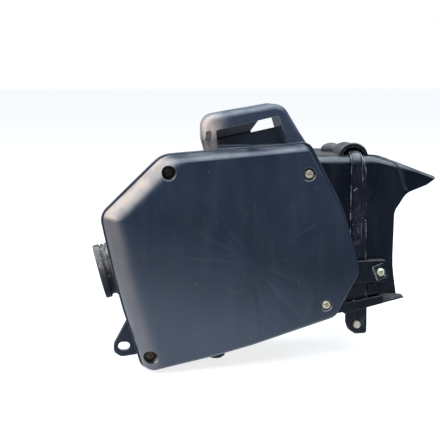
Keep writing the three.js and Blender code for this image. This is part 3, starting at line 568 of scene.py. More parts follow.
def plastic(name, base, rough, dust=0.3, slope_dust_and_highlight=0.0, caked=None, painted_lower_reflection=0.0, painted_recess_light=0.0, wear=0.3,
            scratch=0.5, speckle=0.4, specular=0.4, sink=False, dust_colour=DUST):
    """Weathered dark moulding: uneven tone, fine grain, dust on top, worn edges, scratches and specks.
    Options add warm dust with a painted highlight on left-facing slopes, a caked crust, a painted reflection
    lighter towards the bottom, and painted light on recessed walls.
    """
    g = Graph(bpy.data.materials.new(name))
    broad = g.noise(14, 3)
    smear = g.noise(1.0, 4, g.place(scale=(70, 70, 14), turn=(0, 0.25, 0)))
    lighter = tuple(c * 1.18 + 0.001 for c in base)
    darker = tuple(c * 0.88 for c in base)
    colour = g.mix(g.fade(broad, 0.3, 0.72), darker, lighter)
    colour = g.layer(colour, g.fade(smear, 0.52, 0.75), 0.3, tuple(c * 1.5 + 0.003 for c in base))
    patchy = g.fade(g.noise(38, 5), 0.34, 0.62)
    film = g.times(g.facing_up(0.15, 0.85), patchy)
    colour = g.layer(colour, film, dust, dust_colour)
    if slope_dust_and_highlight:
        # Warm dust plus a painted highlight: slopes that face left and up, towards the light, are painted
        # lighter.
        leftward = g.fade(g.axis(g.normal, "X"), -0.12, -0.72)
        settled_dust_and_highlight = g.times(leftward, g.fade(g.axis(g.normal, "Z"), 0.1, 0.5, 0.18, 1))
        settled_dust_and_highlight = g.times(settled_dust_and_highlight, g.fade(patchy, 0, 1, 0.75, 1))
        colour = g.layer(colour, settled_dust_and_highlight, slope_dust_and_highlight, WARM_DUST_AND_HIGHLIGHT)
    if caked:
        start, end = ((TO_FRAME @ Vector((x, 0, 0))).x for x in caked)
        crust = g.times(g.fade(g.axis(g.coordinates, "X"), start, end), g.fade(g.noise(45, 5), 0.2, 0.75))
        colour = g.layer(colour, crust, 0.85, WARM_DUST_AND_HIGHLIGHT)
    if painted_lower_reflection:
        # Painted reflection: the surface is painted lighter and bluer towards the bottom, as if it reflected
        # the floor.
        downward = Vector((-0.3, 0, -1))
        drop = g.math("SUBTRACT", g.dot(g.coordinates, downward), ORIGIN.dot(downward))
        lower_reflection_mask = g.times(g.fade(drop, -0.01, 0.11), g.fade(g.noise(11, 4), 0.1, 0.7, 0.75, 1))
        colour = g.layer(colour, lower_reflection_mask, painted_lower_reflection, PAINTED_LIGHT_TINT)
    if painted_recess_light:
        # Painted light: faces that look forward deep in the recess, where shade falls, are painted lighter.
        near, far = ((TO_FRAME @ Vector((0, y, 0))).y for y in (20.8, 23.5))
        deep = g.fade(g.axis(g.coordinates, "Y"), near, far)
        inside = g.times(deep, g.fade(g.axis(g.normal, "Y"), -0.6, -0.9))
        colour = g.layer(colour, inside, painted_recess_light, PAINTED_LIGHT_TINT)
    worn = g.times(g.edges(0.0011), g.fade(g.noise(60, 4), 0.3, 0.6))
    colour = g.layer(colour, worn, wear, (0.30, 0.31, 0.33))
    lines = g.math("ADD", g.scratches(0.05, 0.0006, (0, 0.9, 0), scratch),
                   g.scratches(0.035, 0.0005, (0, -0.5, 0), scratch, 7.0), clamp=True)
    colour = g.layer(colour, lines, 0.18, PALE_DUST)
    large, small = g.specks(75, 0.035, 0.16 * speckle), g.specks(210, 0.07, 0.07 * speckle, 5.0)
    spots = g.math("ADD", large, small, clamp=True)
    colour = g.layer(colour, spots, 0.6, (0.55, 0.53, 0.48))
    pits = g.specks(120, 0.06, 0.12 * speckle, 11.0)
    colour = g.layer(colour, pits, 0.6, tuple(c * 0.35 for c in base))
    gloss = g.fade(smear, 0.3, 0.7, rough - 0.05, rough + 0.07)
    gloss = g.math("ADD", gloss, g.times(film, 0.3 * dust), clamp=True)
    normal = g.bump(g.noise(1600, 2), 0.10, 0.0003)
    normal = g.bump(g.noise(16, 1), 0.10, 0.0012, normal)
    if sink:
        normal = g.bump(sink_marks(g), 0.45, 0.0012, normal)
    return g.finish(Base_Color=colour, Roughness=gloss, Normal=normal, Specular_IOR_Level=specular)


def sink_marks(g):
    """Faint grooves over the ribs behind the face, which fan out from one point."""
    centre = TO_FRAME @ Vector((RIB_CENTRE[0], 0, RIB_CENTRE[1]))
    across = g.math("SUBTRACT", g.axis(g.coordinates, "X"), centre.x)
    upward = g.math("SUBTRACT", g.axis(g.coordinates, "Z"), centre.z)
    angle = g.math("ARCTAN2", upward, across)
    wave = g.math("COSINE", g.times(g.math("SUBTRACT", angle, RIB_TURN), float(RIB_COUNT)))
    distance = g.math("SQRT", g.math("ADD", g.times(across, across), g.times(upward, upward)))
    groove = g.times(g.fade(wave, 0.1, 1.0), g.fade(distance, 0.008, 0.035))
    faded = g.times(groove, g.fade(distance, 0.11, 0.05))
    uneven = g.times(faded, g.fade(g.noise(17, 1), 0.35, 0.65))
    return g.math("SUBTRACT", 1.0, uneven)


def rubber(name, base, dust):
    g = Graph(bpy.data.materials.new(name))
    broad = g.noise(45, 5)
    colour = g.mix(g.fade(broad, 0.35, 0.65), base, tuple(c * 2.2 + 0.006 for c in base))
    caked = g.times(g.fade(g.noise(34, 7, roughness=0.72), 0.46, 0.58), g.facing_up(-0.1, 0.6))
    colour = g.layer(colour, caked, 1.6 * dust, WARM_DUST_AND_HIGHLIGHT)
    sprinkled = g.specks(260, 0.16, 0.5)
    colour = g.layer(colour, sprinkled, 0.5 * dust, DUST)
    film = g.times(g.facing_up(-0.1, 0.8), g.fade(g.noise(60, 5), 0.3, 0.55))
    colour = g.layer(colour, film, dust, DUST)
    normal = g.bump(g.noise(420, 5), 0.35, 0.0006)
    gloss = g.fade(broad, 0.3, 0.7, 0.62, 0.85)
    return g.finish(Base_Color=colour, Roughness=gloss, Normal=normal, Specular_IOR_Level=0.3)


def painted_steel(name, base):
    """Black paint with bare scuffs on edges and scratches, and a little dust."""
    g = Graph(bpy.data.materials.new(name))
    broad = g.noise(30, 4)
    colour = g.mix(g.fade(broad, 0.35, 0.7), base, tuple(c * 1.6 + 0.0015 for c in base))
    film = g.times(g.facing_up(0.1, 0.9), g.fade(g.noise(50, 5), 0.3, 0.6))
    colour = g.layer(colour, film, 0.3, DUST)
    worn = g.times(g.edges(0.0012), g.fade(g.noise(55, 4), 0.42, 0.58))
    chipped = g.fade(g.noise(95, 5, g.place(shift=(2, 4, 1)), 0.7), 0.66, 0.70)
    lines = g.scratches(0.03, 0.0006, (0, 0.15, 0), 0.8)
    bare = g.math("MAXIMUM", g.math("MAXIMUM", worn, g.times(chipped, 0.8)), lines)
    colour = g.layer(colour, bare, 0.75, (0.42, 0.42, 0.42))
    normal = g.bump(g.noise(700, 3), 0.12, 0.0003)
    normal = g.bump(g.math("SUBTRACT", 1.0, bare), 0.3, 0.0002, normal)
    gloss = g.fade(g.noise(80, 4), 0.3, 0.7, 0.26, 0.4)
    return g.finish(Base_Color=colour, Roughness=gloss, Normal=normal, Specular_IOR_Level=0.45)


def plated(name, bright, stain, stained):
    """Zinc plate with brownish stains in random blotches."""
    g = Graph(bpy.data.materials.new(name))
    blotches = g.fade(g.noise(420, 5, roughness=0.7), 0.5 - 0.2 * stained, 0.66)
    colour = g.mix(g.times(blotches, stained), bright, stain)
    rings = g.noise(1.0, 3, g.place(scale=(2600, 300, 2600)))
    normal = g.bump(rings, 0.12, 0.0002)
    gloss = g.fade(blotches, 0.0, 1.0, 0.34, 0.6)
    return g.finish(Base_Color=colour, Roughness=gloss, Normal=normal, Metallic=0.5)


def filter_paper(name):
    g = Graph(bpy.data.materials.new(name))
    colour = g.mix(g.fade(g.noise(60, 6), 0.35, 0.7), (0.52, 0.40, 0.20), (0.36, 0.27, 0.14))
    dirty = g.fade(g.noise(26, 5), 0.45, 0.7)
    colour = g.layer(colour, dirty, 0.5, (0.10, 0.085, 0.07))
    fibres = g.noise(1.0, 4, g.place(scale=(900, 900, 2400)))
    gloss = g.fade(fibres, 0.3, 0.7, 0.82, 0.95)
    return g.finish(Base_Color=colour, Roughness=gloss, Normal=g.bump(fibres, 0.4, 0.0003))


def foam(name):
    g = Graph(bpy.data.materials.new(name))
    cells = g.add("ShaderNodeTexVoronoi", {"Vector": g.coordinates, "Scale": 1100.0}).outputs["Distance"]
    colour = g.mix(g.fade(cells, 0.1, 0.7), (0.05, 0.05, 0.055), (0.018, 0.018, 0.02))
    colour = g.layer(colour, g.fade(g.noise(40, 4), 0.5, 0.7), 0.4, DUST)
    gloss = g.fade(cells, 0.0, 1.0, 0.85, 1.0)
    return g.finish(Base_Color=colour, Roughness=gloss, Normal=g.bump(cells, 0.5, 0.0006))


COVER_PLASTIC = plastic("cover plastic", (0.0085, 0.0130, 0.0245), 0.34, dust=0.2, slope_dust_and_highlight=0.8, painted_lower_reflection=0.17,
                        wear=0.35, scratch=0.55, speckle=0.6, sink=True)
CASE_PLASTIC = plastic("case plastic", (0.010, 0.015, 0.027), 0.38, dust=0.22, slope_dust_and_highlight=0.06, wear=0.4,
                       scratch=0.4, speckle=0.5)
SNORKEL_PLASTIC = plastic("snorkel plastic", (0.018, 0.024, 0.041), 0.36, dust=0.35, caked=(-18, -44),
                          painted_recess_light=0.3, wear=0.45, scratch=0.6, speckle=0.8)
GUARD_PLASTIC = plastic("guard plastic", (0.0006, 0.0020, 0.0065), 0.27, dust=0.5, slope_dust_and_highlight=0.1, wear=0.35,
                        scratch=0.45, speckle=0.3, specular=0.5, dust_colour=BROWN_DUST)
ELEMENT_PLASTIC = plastic("element plastic", (0.02, 0.02, 0.022), 0.55, dust=0.2, wear=0.2, scratch=0.2)
TUBE_RUBBER = rubber("tube rubber", (0.006, 0.0065, 0.009), 0.4)
PLUG_RUBBER = rubber("plug rubber", (0.007, 0.008, 0.011), 0.1)
STEEL = painted_steel("painted steel", (0.0035, 0.0035, 0.0085))
SCREW_ZINC = plated("zinc plate", (0.66, 0.59, 0.48), (0.13, 0.08, 0.045), 0.6)
# Darker zinc: brownish stains plus painted shade, for the screws set deep in the cover's left recesses.
STAINED_AND_SHADED_ZINC = plated("stained and shaded zinc plate", (0.25, 0.20, 0.14), (0.035, 0.025, 0.02), 0.8)
YELLOW_ZINC = plated("yellow zinc plate", (0.66, 0.66, 0.46), (0.30, 0.22, 0.08), 0.35)
BRASS = plated("brass", (0.52, 0.36, 0.14), (0.18, 0.10, 0.04), 0.4)
GALVANISED = plated("galvanised steel", (0.50, 0.51, 0.52), (0.20, 0.19, 0.17), 0.5)
PAPER = filter_paper("filter paper")
FOAM = foam("foam")


def dress(node, material):
    """Gives a CAD node that keeps its shape its material."""
    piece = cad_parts[node]
    piece.data.materials.clear()
    piece.data.materials.append(material)
    return piece


# ---- Service cover ----


def face_height(x):
    return -(FACE_DEPTH + FACE_TILT * x)


def cover_shell(thickness, steps):
    """Rings from the rim to the face: each side leans in along a quarter of an ellipse."""
    rings = []
    for k in range(steps + 1):
        angle = k / steps * math.pi / 2
        lean = [width * (1 - math.cos(angle)) + thickness * WALL_SPREAD for width in COVER_SLOPE]

        def height(x):
            return (face_height(x) + thickness + RIM_EDGE) * math.sin(angle) - GAP - RIM_EDGE

        rings.append(ring(inset(COVER_RIM, lean), height))
    return rings


def face_direction():
    """Out of the cover's tilted face."""
    return Vector((FACE_TILT, -1, 0)).normalized()


def service_cover():
    rim = ring(inset(COVER_RIM, RIM_EDGE * 0.6), -GAP)
    shell = loft([rim] + cover_shell(0, 16))
    hollow = loft([ring(inset(COVER_RIM, WALL * WALL_SPREAD), 2)] + cover_shell(WALL, 10)[1:])
    cover = cut(shell, hollow)
    inside = loft([ring(inset(COVER_RIM, WALL * 1.4), -GAP - 0.6)] + cover_shell(1.2, 8)[1:])
    cover = join(cover, keep(cover_ribs(), inside))
    tools = []
    for x, z, recess in COVER_SCREWS:
        whole = loft([ring(inset(COVER_RIM, 0.5), -GAP)] + cover_shell(0.3, 8)[1:])
        cover = join(cover, keep(round_y(x, z, recess + 2, -40, -GAP), whole))
        tools.append(round_y(x, z, recess, -60, SCREW_FLOOR))
        tools.append(round_y(x, z, CLEARANCE, -60, 5))
        mouth = Vector((x, face_height(x) - GAP, z)) + face_direction() * 2
        cone = [(0, 0), (recess + SCREW_FUNNEL, 0), (recess, SCREW_FUNNEL), (0, SCREW_FUNNEL)]
        tools.append(lathe(cone, mouth, -face_direction(), 56))
    return cut(cover, *tools)


def cover_ribs():
    """Stiffening ribs behind the face, which fan out from one point, with a small boss in the middle."""
    boss = round_y(*RIB_CENTRE, 7, -40, -8)
    ribs = []
    for k in range(RIB_COUNT):
        angle = RIB_TURN + 2 * math.pi * k / RIB_COUNT
        along = Vector((math.cos(angle), math.sin(angle)))
        side = Vector((-along.y, along.x)) * 0.8
        start = Vector(RIB_CENTRE) + along * 4
        end = Vector(RIB_CENTRE) + along * 105
        corners = [start - side, end - side, end + side, start + side]
        ribs.append(prism([(*p, BARELY_ROUND) for p in corners], -40, -12.5, step=math.pi))
    return join(boss, *ribs)


cover = service_cover()
finished(cover, "service_cover_moulding", "cover", COVER_PLASTIC, ["service_cover"], 0.3)

# ---- Fasteners ----


def cross_recess(size, depth):
    """A tapered cross that cuts the driver's recess into a screw head."""
    arms = []
    for wide, narrow in ((size, 0.9), (0.9, size)):
        top = rectangle(-wide, wide, -narrow, narrow, 0.1)
        floor = ring(inset(top, 0.35), -PAN_HEIGHT + depth)
        arms.append(loft([ring(top, -6), ring(top, -PAN_HEIGHT), floor]))
    return join(*arms)


def pan_screw(length, radius=PAN):
    crown = [(0, -PAN_HEIGHT)]
    steps = 7
    for k in range(1, steps + 1):
        angle = k / steps * math.pi / 2
        crown.append((radius * math.sin(angle), -PAN_HEIGHT * (0.3 + 0.7 * math.cos(angle))))
    crown += [(radius, -0.25), (radius - 0.25, 0), (SHAFT, 0)]
    pitch = 0.8
    turns = int((length - 8) / pitch)
    for k in range(turns):
        crown += [(SHAFT, 6 + k * pitch), (SHAFT - 0.3, 6 + (k + 0.5) * pitch)]
    crown += [(SHAFT, length - 1), (SHAFT - 0.7, length), (0, length)]
    screw = lathe(crown, direction=ALONG_Y)
    rim = [(0, -0.9), (radius + 0.15, -0.9), (radius + 0.25, -0.5), (radius + 0.2, 0), (0, 0)]
    washer = lathe(rim, direction=ALONG_Y)
    return cut(join(screw, washer), cross_recess(radius * 0.6, 2.3))


def hex_bolt(length, radius=HEX, height=3.5):
    angles = [math.pi * k / 3 + math.pi / 2 for k in range(6)]
    hexagon = prism([(radius * math.cos(a), radius * math.sin(a), 0.15) for a in angles], -height, -0.6)
    top, wide = -height - 0.01, radius * 1.02
    chamfered = [(0, top), (radius * 0.86, top), (wide, -height + 0.9), (wide, 0), (0, 0)]
    hollow = [(0, -height + 0.3), (radius * 0.45, -height), (radius * 0.5, -height - 2), (0, -height - 2)]
    head = keep(hexagon, lathe(chamfered, direction=ALONG_Y))
    head = cut(head, lathe(hollow, direction=ALONG_Y))
    collar = [(0, -0.8), (radius * 0.98, -0.8), (radius, -0.4), (radius, 0), (SHAFT, 0)]
    collar += [(SHAFT, length - 1), (SHAFT - 0.6, length), (0, length)]
    return join(head, lathe(collar, direction=ALONG_Y))


def fasten(node, piece, seat, direction, turn=0, look=SCREW_ZINC, body="case", bevel=0.1):
    """Turns a fastener, modelled with its head towards -y, and seats it in place of its CAD node."""
    spin = TO_COVER_SIDE.rotation_difference(Vector(direction)).to_matrix().to_4x4()
    piece.data.transform(Matrix.Translation(Vector(seat)) @ spin @ Matrix.Rotation(turn, 4, "Y"))
    finished(piece, f"{node}_detailed", body, look, [node], bevel=bevel, segments=1)


PAN_BEVEL = 0.08
SCREW_TURNS = [0.5, 0.15, 0.75, 0.35]
# The two left screws get the darker zinc: stains plus painted shade.
SCREW_LOOKS = [STAINED_AND_SHADED_ZINC, SCREW_ZINC, STAINED_AND_SHADED_ZINC, SCREW_ZINC]
for i, (x, z, _) in enumerate(COVER_SCREWS):
    node = f"cover_screw_{i + 1}"
    seat = (x, SCREW_FLOOR - GAP, z)
    screw = pan_screw(27)
    fasten(node, screw, seat, TO_COVER_SIDE, SCREW_TURNS[i], SCREW_LOOKS[i], body=node, bevel=PAN_BEVEL)
    dress(f"cover_nut_{i + 1}", BRASS)

# ---- Case ----

tube_edge = Vector((CASE_BODY[0][0] - CASE_BODY[6][0], 0, CASE_BODY[0][1] - CASE_BODY[6][1]))
TUBE_AXIS = Vector((tube_edge.z, 0, -tube_edge.x)).normalized()
TUBE_SEAT = Vector(
    (CASE_BODY[6][0] + tube_edge.x * (TUBE_Z - CASE_BODY[6][1]) / tube_edge.z, TUBE_Y, TUBE_Z)
)


def side_of_case(corner):
    x0, z0, _ = CASE_BODY[corner]
    x1, z1, _ = CASE_BODY[(corner + 1) % len(CASE_BODY)]
    return Vector(((x0 + x1) / 2, 70, (z0 + z1) / 2)), Vector((z1 - z0, 0, x0 - x1)).normalized()


GUARD_SCREWS = [side_of_case(corner) for corner in (1, 2, 3)]


def case_shell():
    flange = prism(spread(COVER_RIM, FLANGE_SPREAD), GAP, FLANGE_THICKNESS, rounded=0.9)
    body = prism(CASE_BODY, GAP + 0.5, CASE_BACK, CASE_DRAFT)
    shell = join(flange, body)
    shell = join(shell, *case_ribs())
    shell = cut(shell, prism(inset(CASE_BODY, WALL), -5, CASE_BACK - 4, CASE_DRAFT))
    shell = cut(shell, prism(inset(CASE_BODY, [d + 13 for d in CASE_DRAFT]), 80, CASE_BACK + 5))

    # Partition between the unfiltered and the filtered side.
    facing = box(-200, PARTITION_X + PARTITION, PARTITION_Y, PARTITION_Y + PARTITION, -200, 200)
    dividing = box(PARTITION_X, PARTITION_X + PARTITION, PARTITION_Y, CASE_BACK - 2, -200, 200)
    inside = prism(inset(CASE_BODY, WALL / 2), 2, CASE_BACK - 2, CASE_DRAFT)
    reach_x = ELEMENT_WIDTH / 2 - ELEMENT_RIM
    reach_z = ELEMENT_HEIGHT / 2 - ELEMENT_RIM
    x0, x1 = ELEMENT_X - reach_x, ELEMENT_X + reach_x
    z0, z1 = ELEMENT_Z - reach_z, ELEMENT_Z + reach_z
    opening = prism(rectangle(x0, x1, z0, z1, 4), PARTITION_Y - 1, PARTITION_Y + 4)
    shell = join(shell, cut(keep(join(facing, dividing), inside), opening))

    # Pillars with captive nuts behind the cover screws, and pillars for the back cover's screws.
    for x, z, _ in COVER_SCREWS:
        x0, x1 = sorted((x, x + math.copysign(14, x)))
        z0, z1 = sorted((z, z + math.copysign(14, z)))
        webs = [box(x - 1.5, x + 1.5, 1, 16, z0, z1), box(x0, x1, 1, 16, z - 1.5, z + 1.5)]
        pillar = join(round_y(x, z, 7, GAP, 16), *webs)
        shell = join(shell, keep(pillar, prism(inset(CASE_BODY, 1), GAP, 60)))
    for x, z in BACK_SCREWS:
        pillar = round_y(x, z, 5.5, CASE_BACK - 16, CASE_BACK)
        shell = join(shell, keep(pillar, prism(inset(CASE_BODY, 1), 0, CASE_BACK - 0.01, CASE_DRAFT)))
    tools = []
    for x, z, _ in COVER_SCREWS:
        tools.append(round_y(x, z, CLEARANCE, -5, 19))
        tools.append(round_y(x, z, NUT + GAP + 0.1, 12, 18, 6))
    tools += [round_y(x, z, CLEARANCE, CASE_BACK - 14, CASE_BACK + 5) for x, z in BACK_SCREWS]

    # Mounting ear with an oblong hole, below the carburettor side, and the drain spigot.
    ear = prism([(EAR_X + x, EAR_Z + z, radius) for x, z, radius in EAR], EAR_Y, EAR_Y + 5, rounded=1.2)
    shell = join(shell, cut(ear, prism(inset(CASE_BODY, WALL), -5, 60)))
    tools.append(prism(rectangle(EAR_X - 6.1, EAR_X + 6.1, EAR_Z - 4.6, EAR_Z + 4.6, 4.5), 0, 60))
    shell = join(shell, rod((DRAIN_X, DRAIN_Y, -92), -UP, DRAIN_RADIUS, -92 - DRAIN_Z))
    tools.append(rod((DRAIN_X, DRAIN_Y, -85), -UP, DRAIN_RADIUS - WALL, 30))

    # Holes for the tube, the snorkel and the screws of the snorkel and the mudguard.
    tools.append(rod(TUBE_SEAT + TUBE_AXIS * 10, -TUBE_AXIS, TUBE_NECK + 0.4, 25, 60))
    tools.append(box(43, 54.5, 10, 43, 85, 110))
    tools += [rod(Vector(site) - UP * 8, UP, CLEARANCE, 14) for site in SNORKEL_SCREWS]
    for middle, outward in GUARD_SCREWS:
        boss = rod(middle - outward * 12, outward, 6, 11)
        shell = join(shell, cut(boss, prism(spread(CASE_BODY, 1), 90, 120)))
        tools.append(rod(middle - outward * 14, outward, CLEARANCE, 20))
    groove = cut(prism(inset(COVER_RIM, 5.1), -1, 2.2), prism(inset(COVER_RIM, 7.7), -2, 3))
    tools.append(groove)
    return cut(shell, *tools)


def case_ribs():
    """Shallow stiffening ribs around the case behind the flange, on the sides that stay free."""
    ribs = []
    for y in (30, 62):
        band = prism(spread(CASE_BODY, 1.1), y, y + 2.2)
        left = box(-200, -60, y - 1, y + 4, -130, 30)
        ribs.append(cut(keep(band, left), rod(TUBE_SEAT - TUBE_AXIS * 20, TUBE_AXIS, 33, 40)))
    return ribs


finished(case_shell(), "case_moulding", "case", CASE_PLASTIC, ["case_shell"], bevel=0.35)
dress("cover_gasket", FOAM)

# ---- Back cover ----


def back_cover():
    outer = inset(CASE_BODY, CASE_DRAFT)
    plate = prism(outer, CASE_BACK + GAP, CASE_BACK + 3, rounded=0.6)
    end = CASE_BACK + BACK_COVER_DEPTH
    pan = prism(inset(outer, 16), CASE_BACK + 2, end, rounded=0, rounded_end=2)
    cover = join(plate, pan)
    hollow = prism(inset(outer, 18.5), CASE_BACK - 5, end - WALL, 2)
    cover = cut(cover, hollow)
    grooves = []
    window = prism(inset(outer, 24), 60, 140)
    for k in range(-5, 6):
        strip = box(-1.6, 1.6, end - 0.9, end + 2, -150, 150)
        strip.data.transform(Matrix.Translation((22 * k - 18, 0, 0)) @ Matrix.Rotation(0.28, 4, "Y"))
        grooves.append(strip)
    cover = cut(cover, keep(join(*grooves), window))
    holes = [round_y(x, z, CLEARANCE, 50, 150) for x, z in BACK_SCREWS]
    return cut(cover, *holes)


finished(back_cover(), "back_cover_moulding", "case", CASE_PLASTIC, ["back_cover"], bevel=0.3)
for i, (x, z) in enumerate(BACK_SCREWS):
    fasten(f"back_screw_{i + 1}", hex_bolt(15), (x, CASE_BACK + 3 + GAP, z), ALONG_Y, 0.4 * i)

# ---- Filter element ----


def element_box(margin, y0, y1, radius=BARELY_ROUND):
    half_x = ELEMENT_WIDTH / 2 - margin
    half_z = ELEMENT_HEIGHT / 2 - margin
    x0, x1 = ELEMENT_X - half_x, ELEMENT_X + half_x
    return prism(rectangle(x0, x1, ELEMENT_Z - half_z, ELEMENT_Z + half_z, radius), y0, y1)


def element_frame():
    tray = element_box(0, ELEMENT_FRONT, ELEMENT_BACK, 3)
    tray = cut(tray, element_box(ELEMENT_RIM, -30, 60, 2))
    tray = cut(tray, element_box(ELEMENT_RIM - 4, ELEMENT_FRONT + WALL, ELEMENT_BACK + 5))
    groove = cut(element_box(3.5, ELEMENT_FRONT - 2, ELEMENT_FRONT + 1.2, 3), element_box(6.5, -20, 20, 2))
    return cut(tray, groove)


def pleated_media():
    """Paper folded into deep pleats with rounded crests."""
    margin = ELEMENT_RIM - 4 + GAP + 0.1
    left = ELEMENT_X - ELEMENT_WIDTH / 2 + margin
    width = ELEMENT_WIDTH - 2 * margin
    front = ELEMENT_FRONT + WALL + GAP + 0.1
    depth = 11.6
    paper = 1.5
    steps = 12
    line = []
    for i in range(PLEATS * steps + 1):
        phase = (i % steps) / steps
        wave = 0.5 - 0.5 * math.cos(2 * math.pi * phase)
        sharpened = wave**0.8 if wave < 0.5 else 1 - (1 - wave) ** 0.8
        line.append(Vector((left + width * i / (PLEATS * steps), front + depth * sharpened)))
    half = ELEMENT_HEIGHT / 2 - margin
    shape = bmesh.new()
    rows = []
    for z in (ELEMENT_Z - half, ELEMENT_Z + half):
        lower = [shape.verts.new((p.x, p.y, z)) for p in line]
        upper = [shape.verts.new((p.x, p.y + paper, z)) for p in line]
        rows.append((lower, upper))
    (a, b), (c, d) = rows
    for i in range(len(line) - 1):
        shape.faces.new((a[i], a[i + 1], c[i + 1], c[i]))
        shape.faces.new((b[i + 1], b[i], d[i], d[i + 1]))
        shape.faces.new((a[i + 1], a[i], b[i], b[i + 1]))
        shape.faces.new((c[i], c[i + 1], d[i + 1], d[i]))
    shape.faces.new((a[0], c[0], d[0], b[0]))
    shape.faces.new((a[-1], b[-1], d[-1], c[-1]))
    return to_object(shape)


finished(element_frame(), "element_frame_moulding", "element", ELEMENT_PLASTIC,
         ["element_frame"], bevel=0.3)
finished(pleated_media(), "pleated_paper", "element", PAPER, ["element_media"], bevel=0)
dress("element_screen", GALVANISED)
dress("element_seal", FOAM)

# ---- Connecting tube ----


def connecting_tube():
    seat = -WALL - GAP
    inside_lip = [(TUBE_BORE, -9), (26, -9), (27.2, -8.6), (28.8, -6.9), (29, -6.3)]
    inside_lip += [(29, seat - 0.3), (28.7, seat)]
    neck = [(TUBE_NECK, seat), (TUBE_NECK, GAP)]
    collar = [(28.8, GAP), (29.2, GAP + 0.4), (29.2, 3.6), (28.9, 4.1), (28.1, 5.2), (28, 6), (28, 10.4)]
    groove = [(27.7, 11.1), (26.3, 11.9), (26, 12.5), (26, 15.4), (26.3, 16.1)]
    end_lip = [(28.2, 16.8), (28.5, 17.4), (28.5, 22), (28.2, 22.9), (27.4, TUBE_REACH)]
    mouth = [(24.6, TUBE_REACH), (23.9, 23.1), (22.3, 18.6), (TUBE_BORE, 17.8)]
    profile = inside_lip + neck + collar + groove + end_lip + mouth
    tube = lathe(profile, TUBE_SEAT, TUBE_AXIS, 84)
    up = (UP - TUBE_AXIS * TUBE_AXIS.z).normalized()
    side = TUBE_AXIS.cross(up)
    lugs = []
    for angle in (0.35, 2.2, 4.6):
        radial = up * math.cos(angle) + side * math.sin(angle)
        lugs.append(rod(TUBE_SEAT + TUBE_AXIS * 14 + radial * 24, radial, 1.6, 4.1, 20))
    return join(tube, *lugs)


finished(connecting_tube(), "rubber_connecting_tube", "case", TUBE_RUBBER, ["connecting_tube"],
         bevel=0)
dress("tube_insert_ring", GALVANISED)

# ---- Drain plug ----


def drain_plug():
    top = DRAIN_Z - 1.5 - GAP
    stem = DRAIN_RADIUS - WALL - GAP
    profile = [(0, 5), (6.2, 4.9), (6.9, 4.5), (9.3, 2.6), (9.5, 2.2), (9.5, 0.2), (9.2, -0.4), (8.9, -1.4),
               (8.5, -1.5), (stem, -1.5), (stem, -8.6), (stem - 0.5, -9), (0, -9)]
    return lathe(profile, (DRAIN_X, DRAIN_Y, top), -UP)


finished(drain_plug(), "rubber_drain_plug", "drain_plug", PLUG_RUBBER, ["drain_plug"], bevel=0)

# ---- Intake snorkel ----


def snorkel_parts():
    loop = prism(SNORKEL_LOOP, SNORKEL_FRONT, SNORKEL_BACK, SNORKEL_TAPER, rounded=6.5, rounded_end=4)
    loop = cut(loop, prism(SNORKEL_WINDOW, -10, 100))
    partition = prism(SNORKEL_PARTITION, 24, 26.5)
    panel = prism(SNORKEL_PANEL, 18, 20.5, rounded=0.5)
    base = box(-40, 44, FLANGE_THICKNESS + 1, SNORKEL_BACK, 90, SNORKEL_BASE)
    body = join(loop, partition, panel, keep(base, prism(SNORKEL_LOOP, 0, 60)))

    inner = inset(SNORKEL_LOOP, SNORKEL_WALL)
    recess_end = SNORKEL_FRONT + RECESS_DEPTH
    front, back = SNORKEL_FRONT + SNORKEL_WALL, SNORKEL_BACK - SNORKEL_WALL
    channel = cut(
        prism(inner, front, back, SNORKEL_TAPER, rounded=4.4),
        prism(spread(SNORKEL_WINDOW, SNORKEL_WALL), -10, 100),
        box(-80, 41, -10, 100, 80, 107),
        prism(spread(SNORKEL_RECESS, SNORKEL_WALL), 0, recess_end + SNORKEL_WALL),
    )
    leg_bottom = box(43, 56.5, 10, 43, 80, 112)
    recess = prism(SNORKEL_RECESS, -10, recess_end)
    rear_mouth = keep(prism(inset(inner, SNORKEL_TAPER), 30, 60), box(-60, -36, 30, 60, 105, 126))
    flange_room = prism(spread(COVER_RIM, [s + GAP for s in FLANGE_SPREAD]), -10, FLANGE_THICKNESS + GAP)
    body_room = prism(spread(CASE_BODY, GAP), -10, 100)
    guard_room = box(40, 100, GUARD_NEAR - 1, 100, 60, GUARD_TOP + 0.7)
    holes = [rod(site, UP, CLEARANCE, 9.5) for site in SNORKEL_SCREWS]
    return cut(body, channel, leg_bottom, recess, rear_mouth, flange_room, body_room, guard_room, *holes)


finished(snorkel_parts(), "snorkel_moulding", "case", SNORKEL_PLASTIC, ["intake_snorkel"],
         bevel=0.4)
for i, (x, y, z) in enumerate(SNORKEL_SCREWS):
    fasten(f"snorkel_screw_{i + 1}", hex_bolt(11), (x, y, z - WALL - 2), -UP)

# ---- Mudguard ----


def guard_edges(wall, drop, open_side):
    amounts = []
    for i in range(len(GUARD_SIDE)):
        if i in GUARD_TOP_EDGES:
            amounts.append(wall + drop * GUARD_TOP_EDGES[i])
        else:
            amounts.append(open_side if i in GUARD_OPEN_EDGES else 0)
    return amounts


def guard_block(wall, open_side, steps=8):
    """The side profile swept across the wheel, with rounded shoulders along the top."""
    rings = []
    for side in (-1, 1):
        for k in range(steps + 1) if side < 0 else range(steps, -1, -1):
            angle = k / steps * math.pi / 2
            drop = (GUARD_SHOULDER - wall) * (1 - math.sin(angle))
            depth = wall + (GUARD_SHOULDER - wall) * (1 - math.cos(angle))
            y = GUARD_NEAR + depth if side < 0 else GUARD_FAR - depth
            rings.append(ring(inset(GUARD_SIDE, guard_edges(wall, drop, open_side)), y))
    return loft(rings)


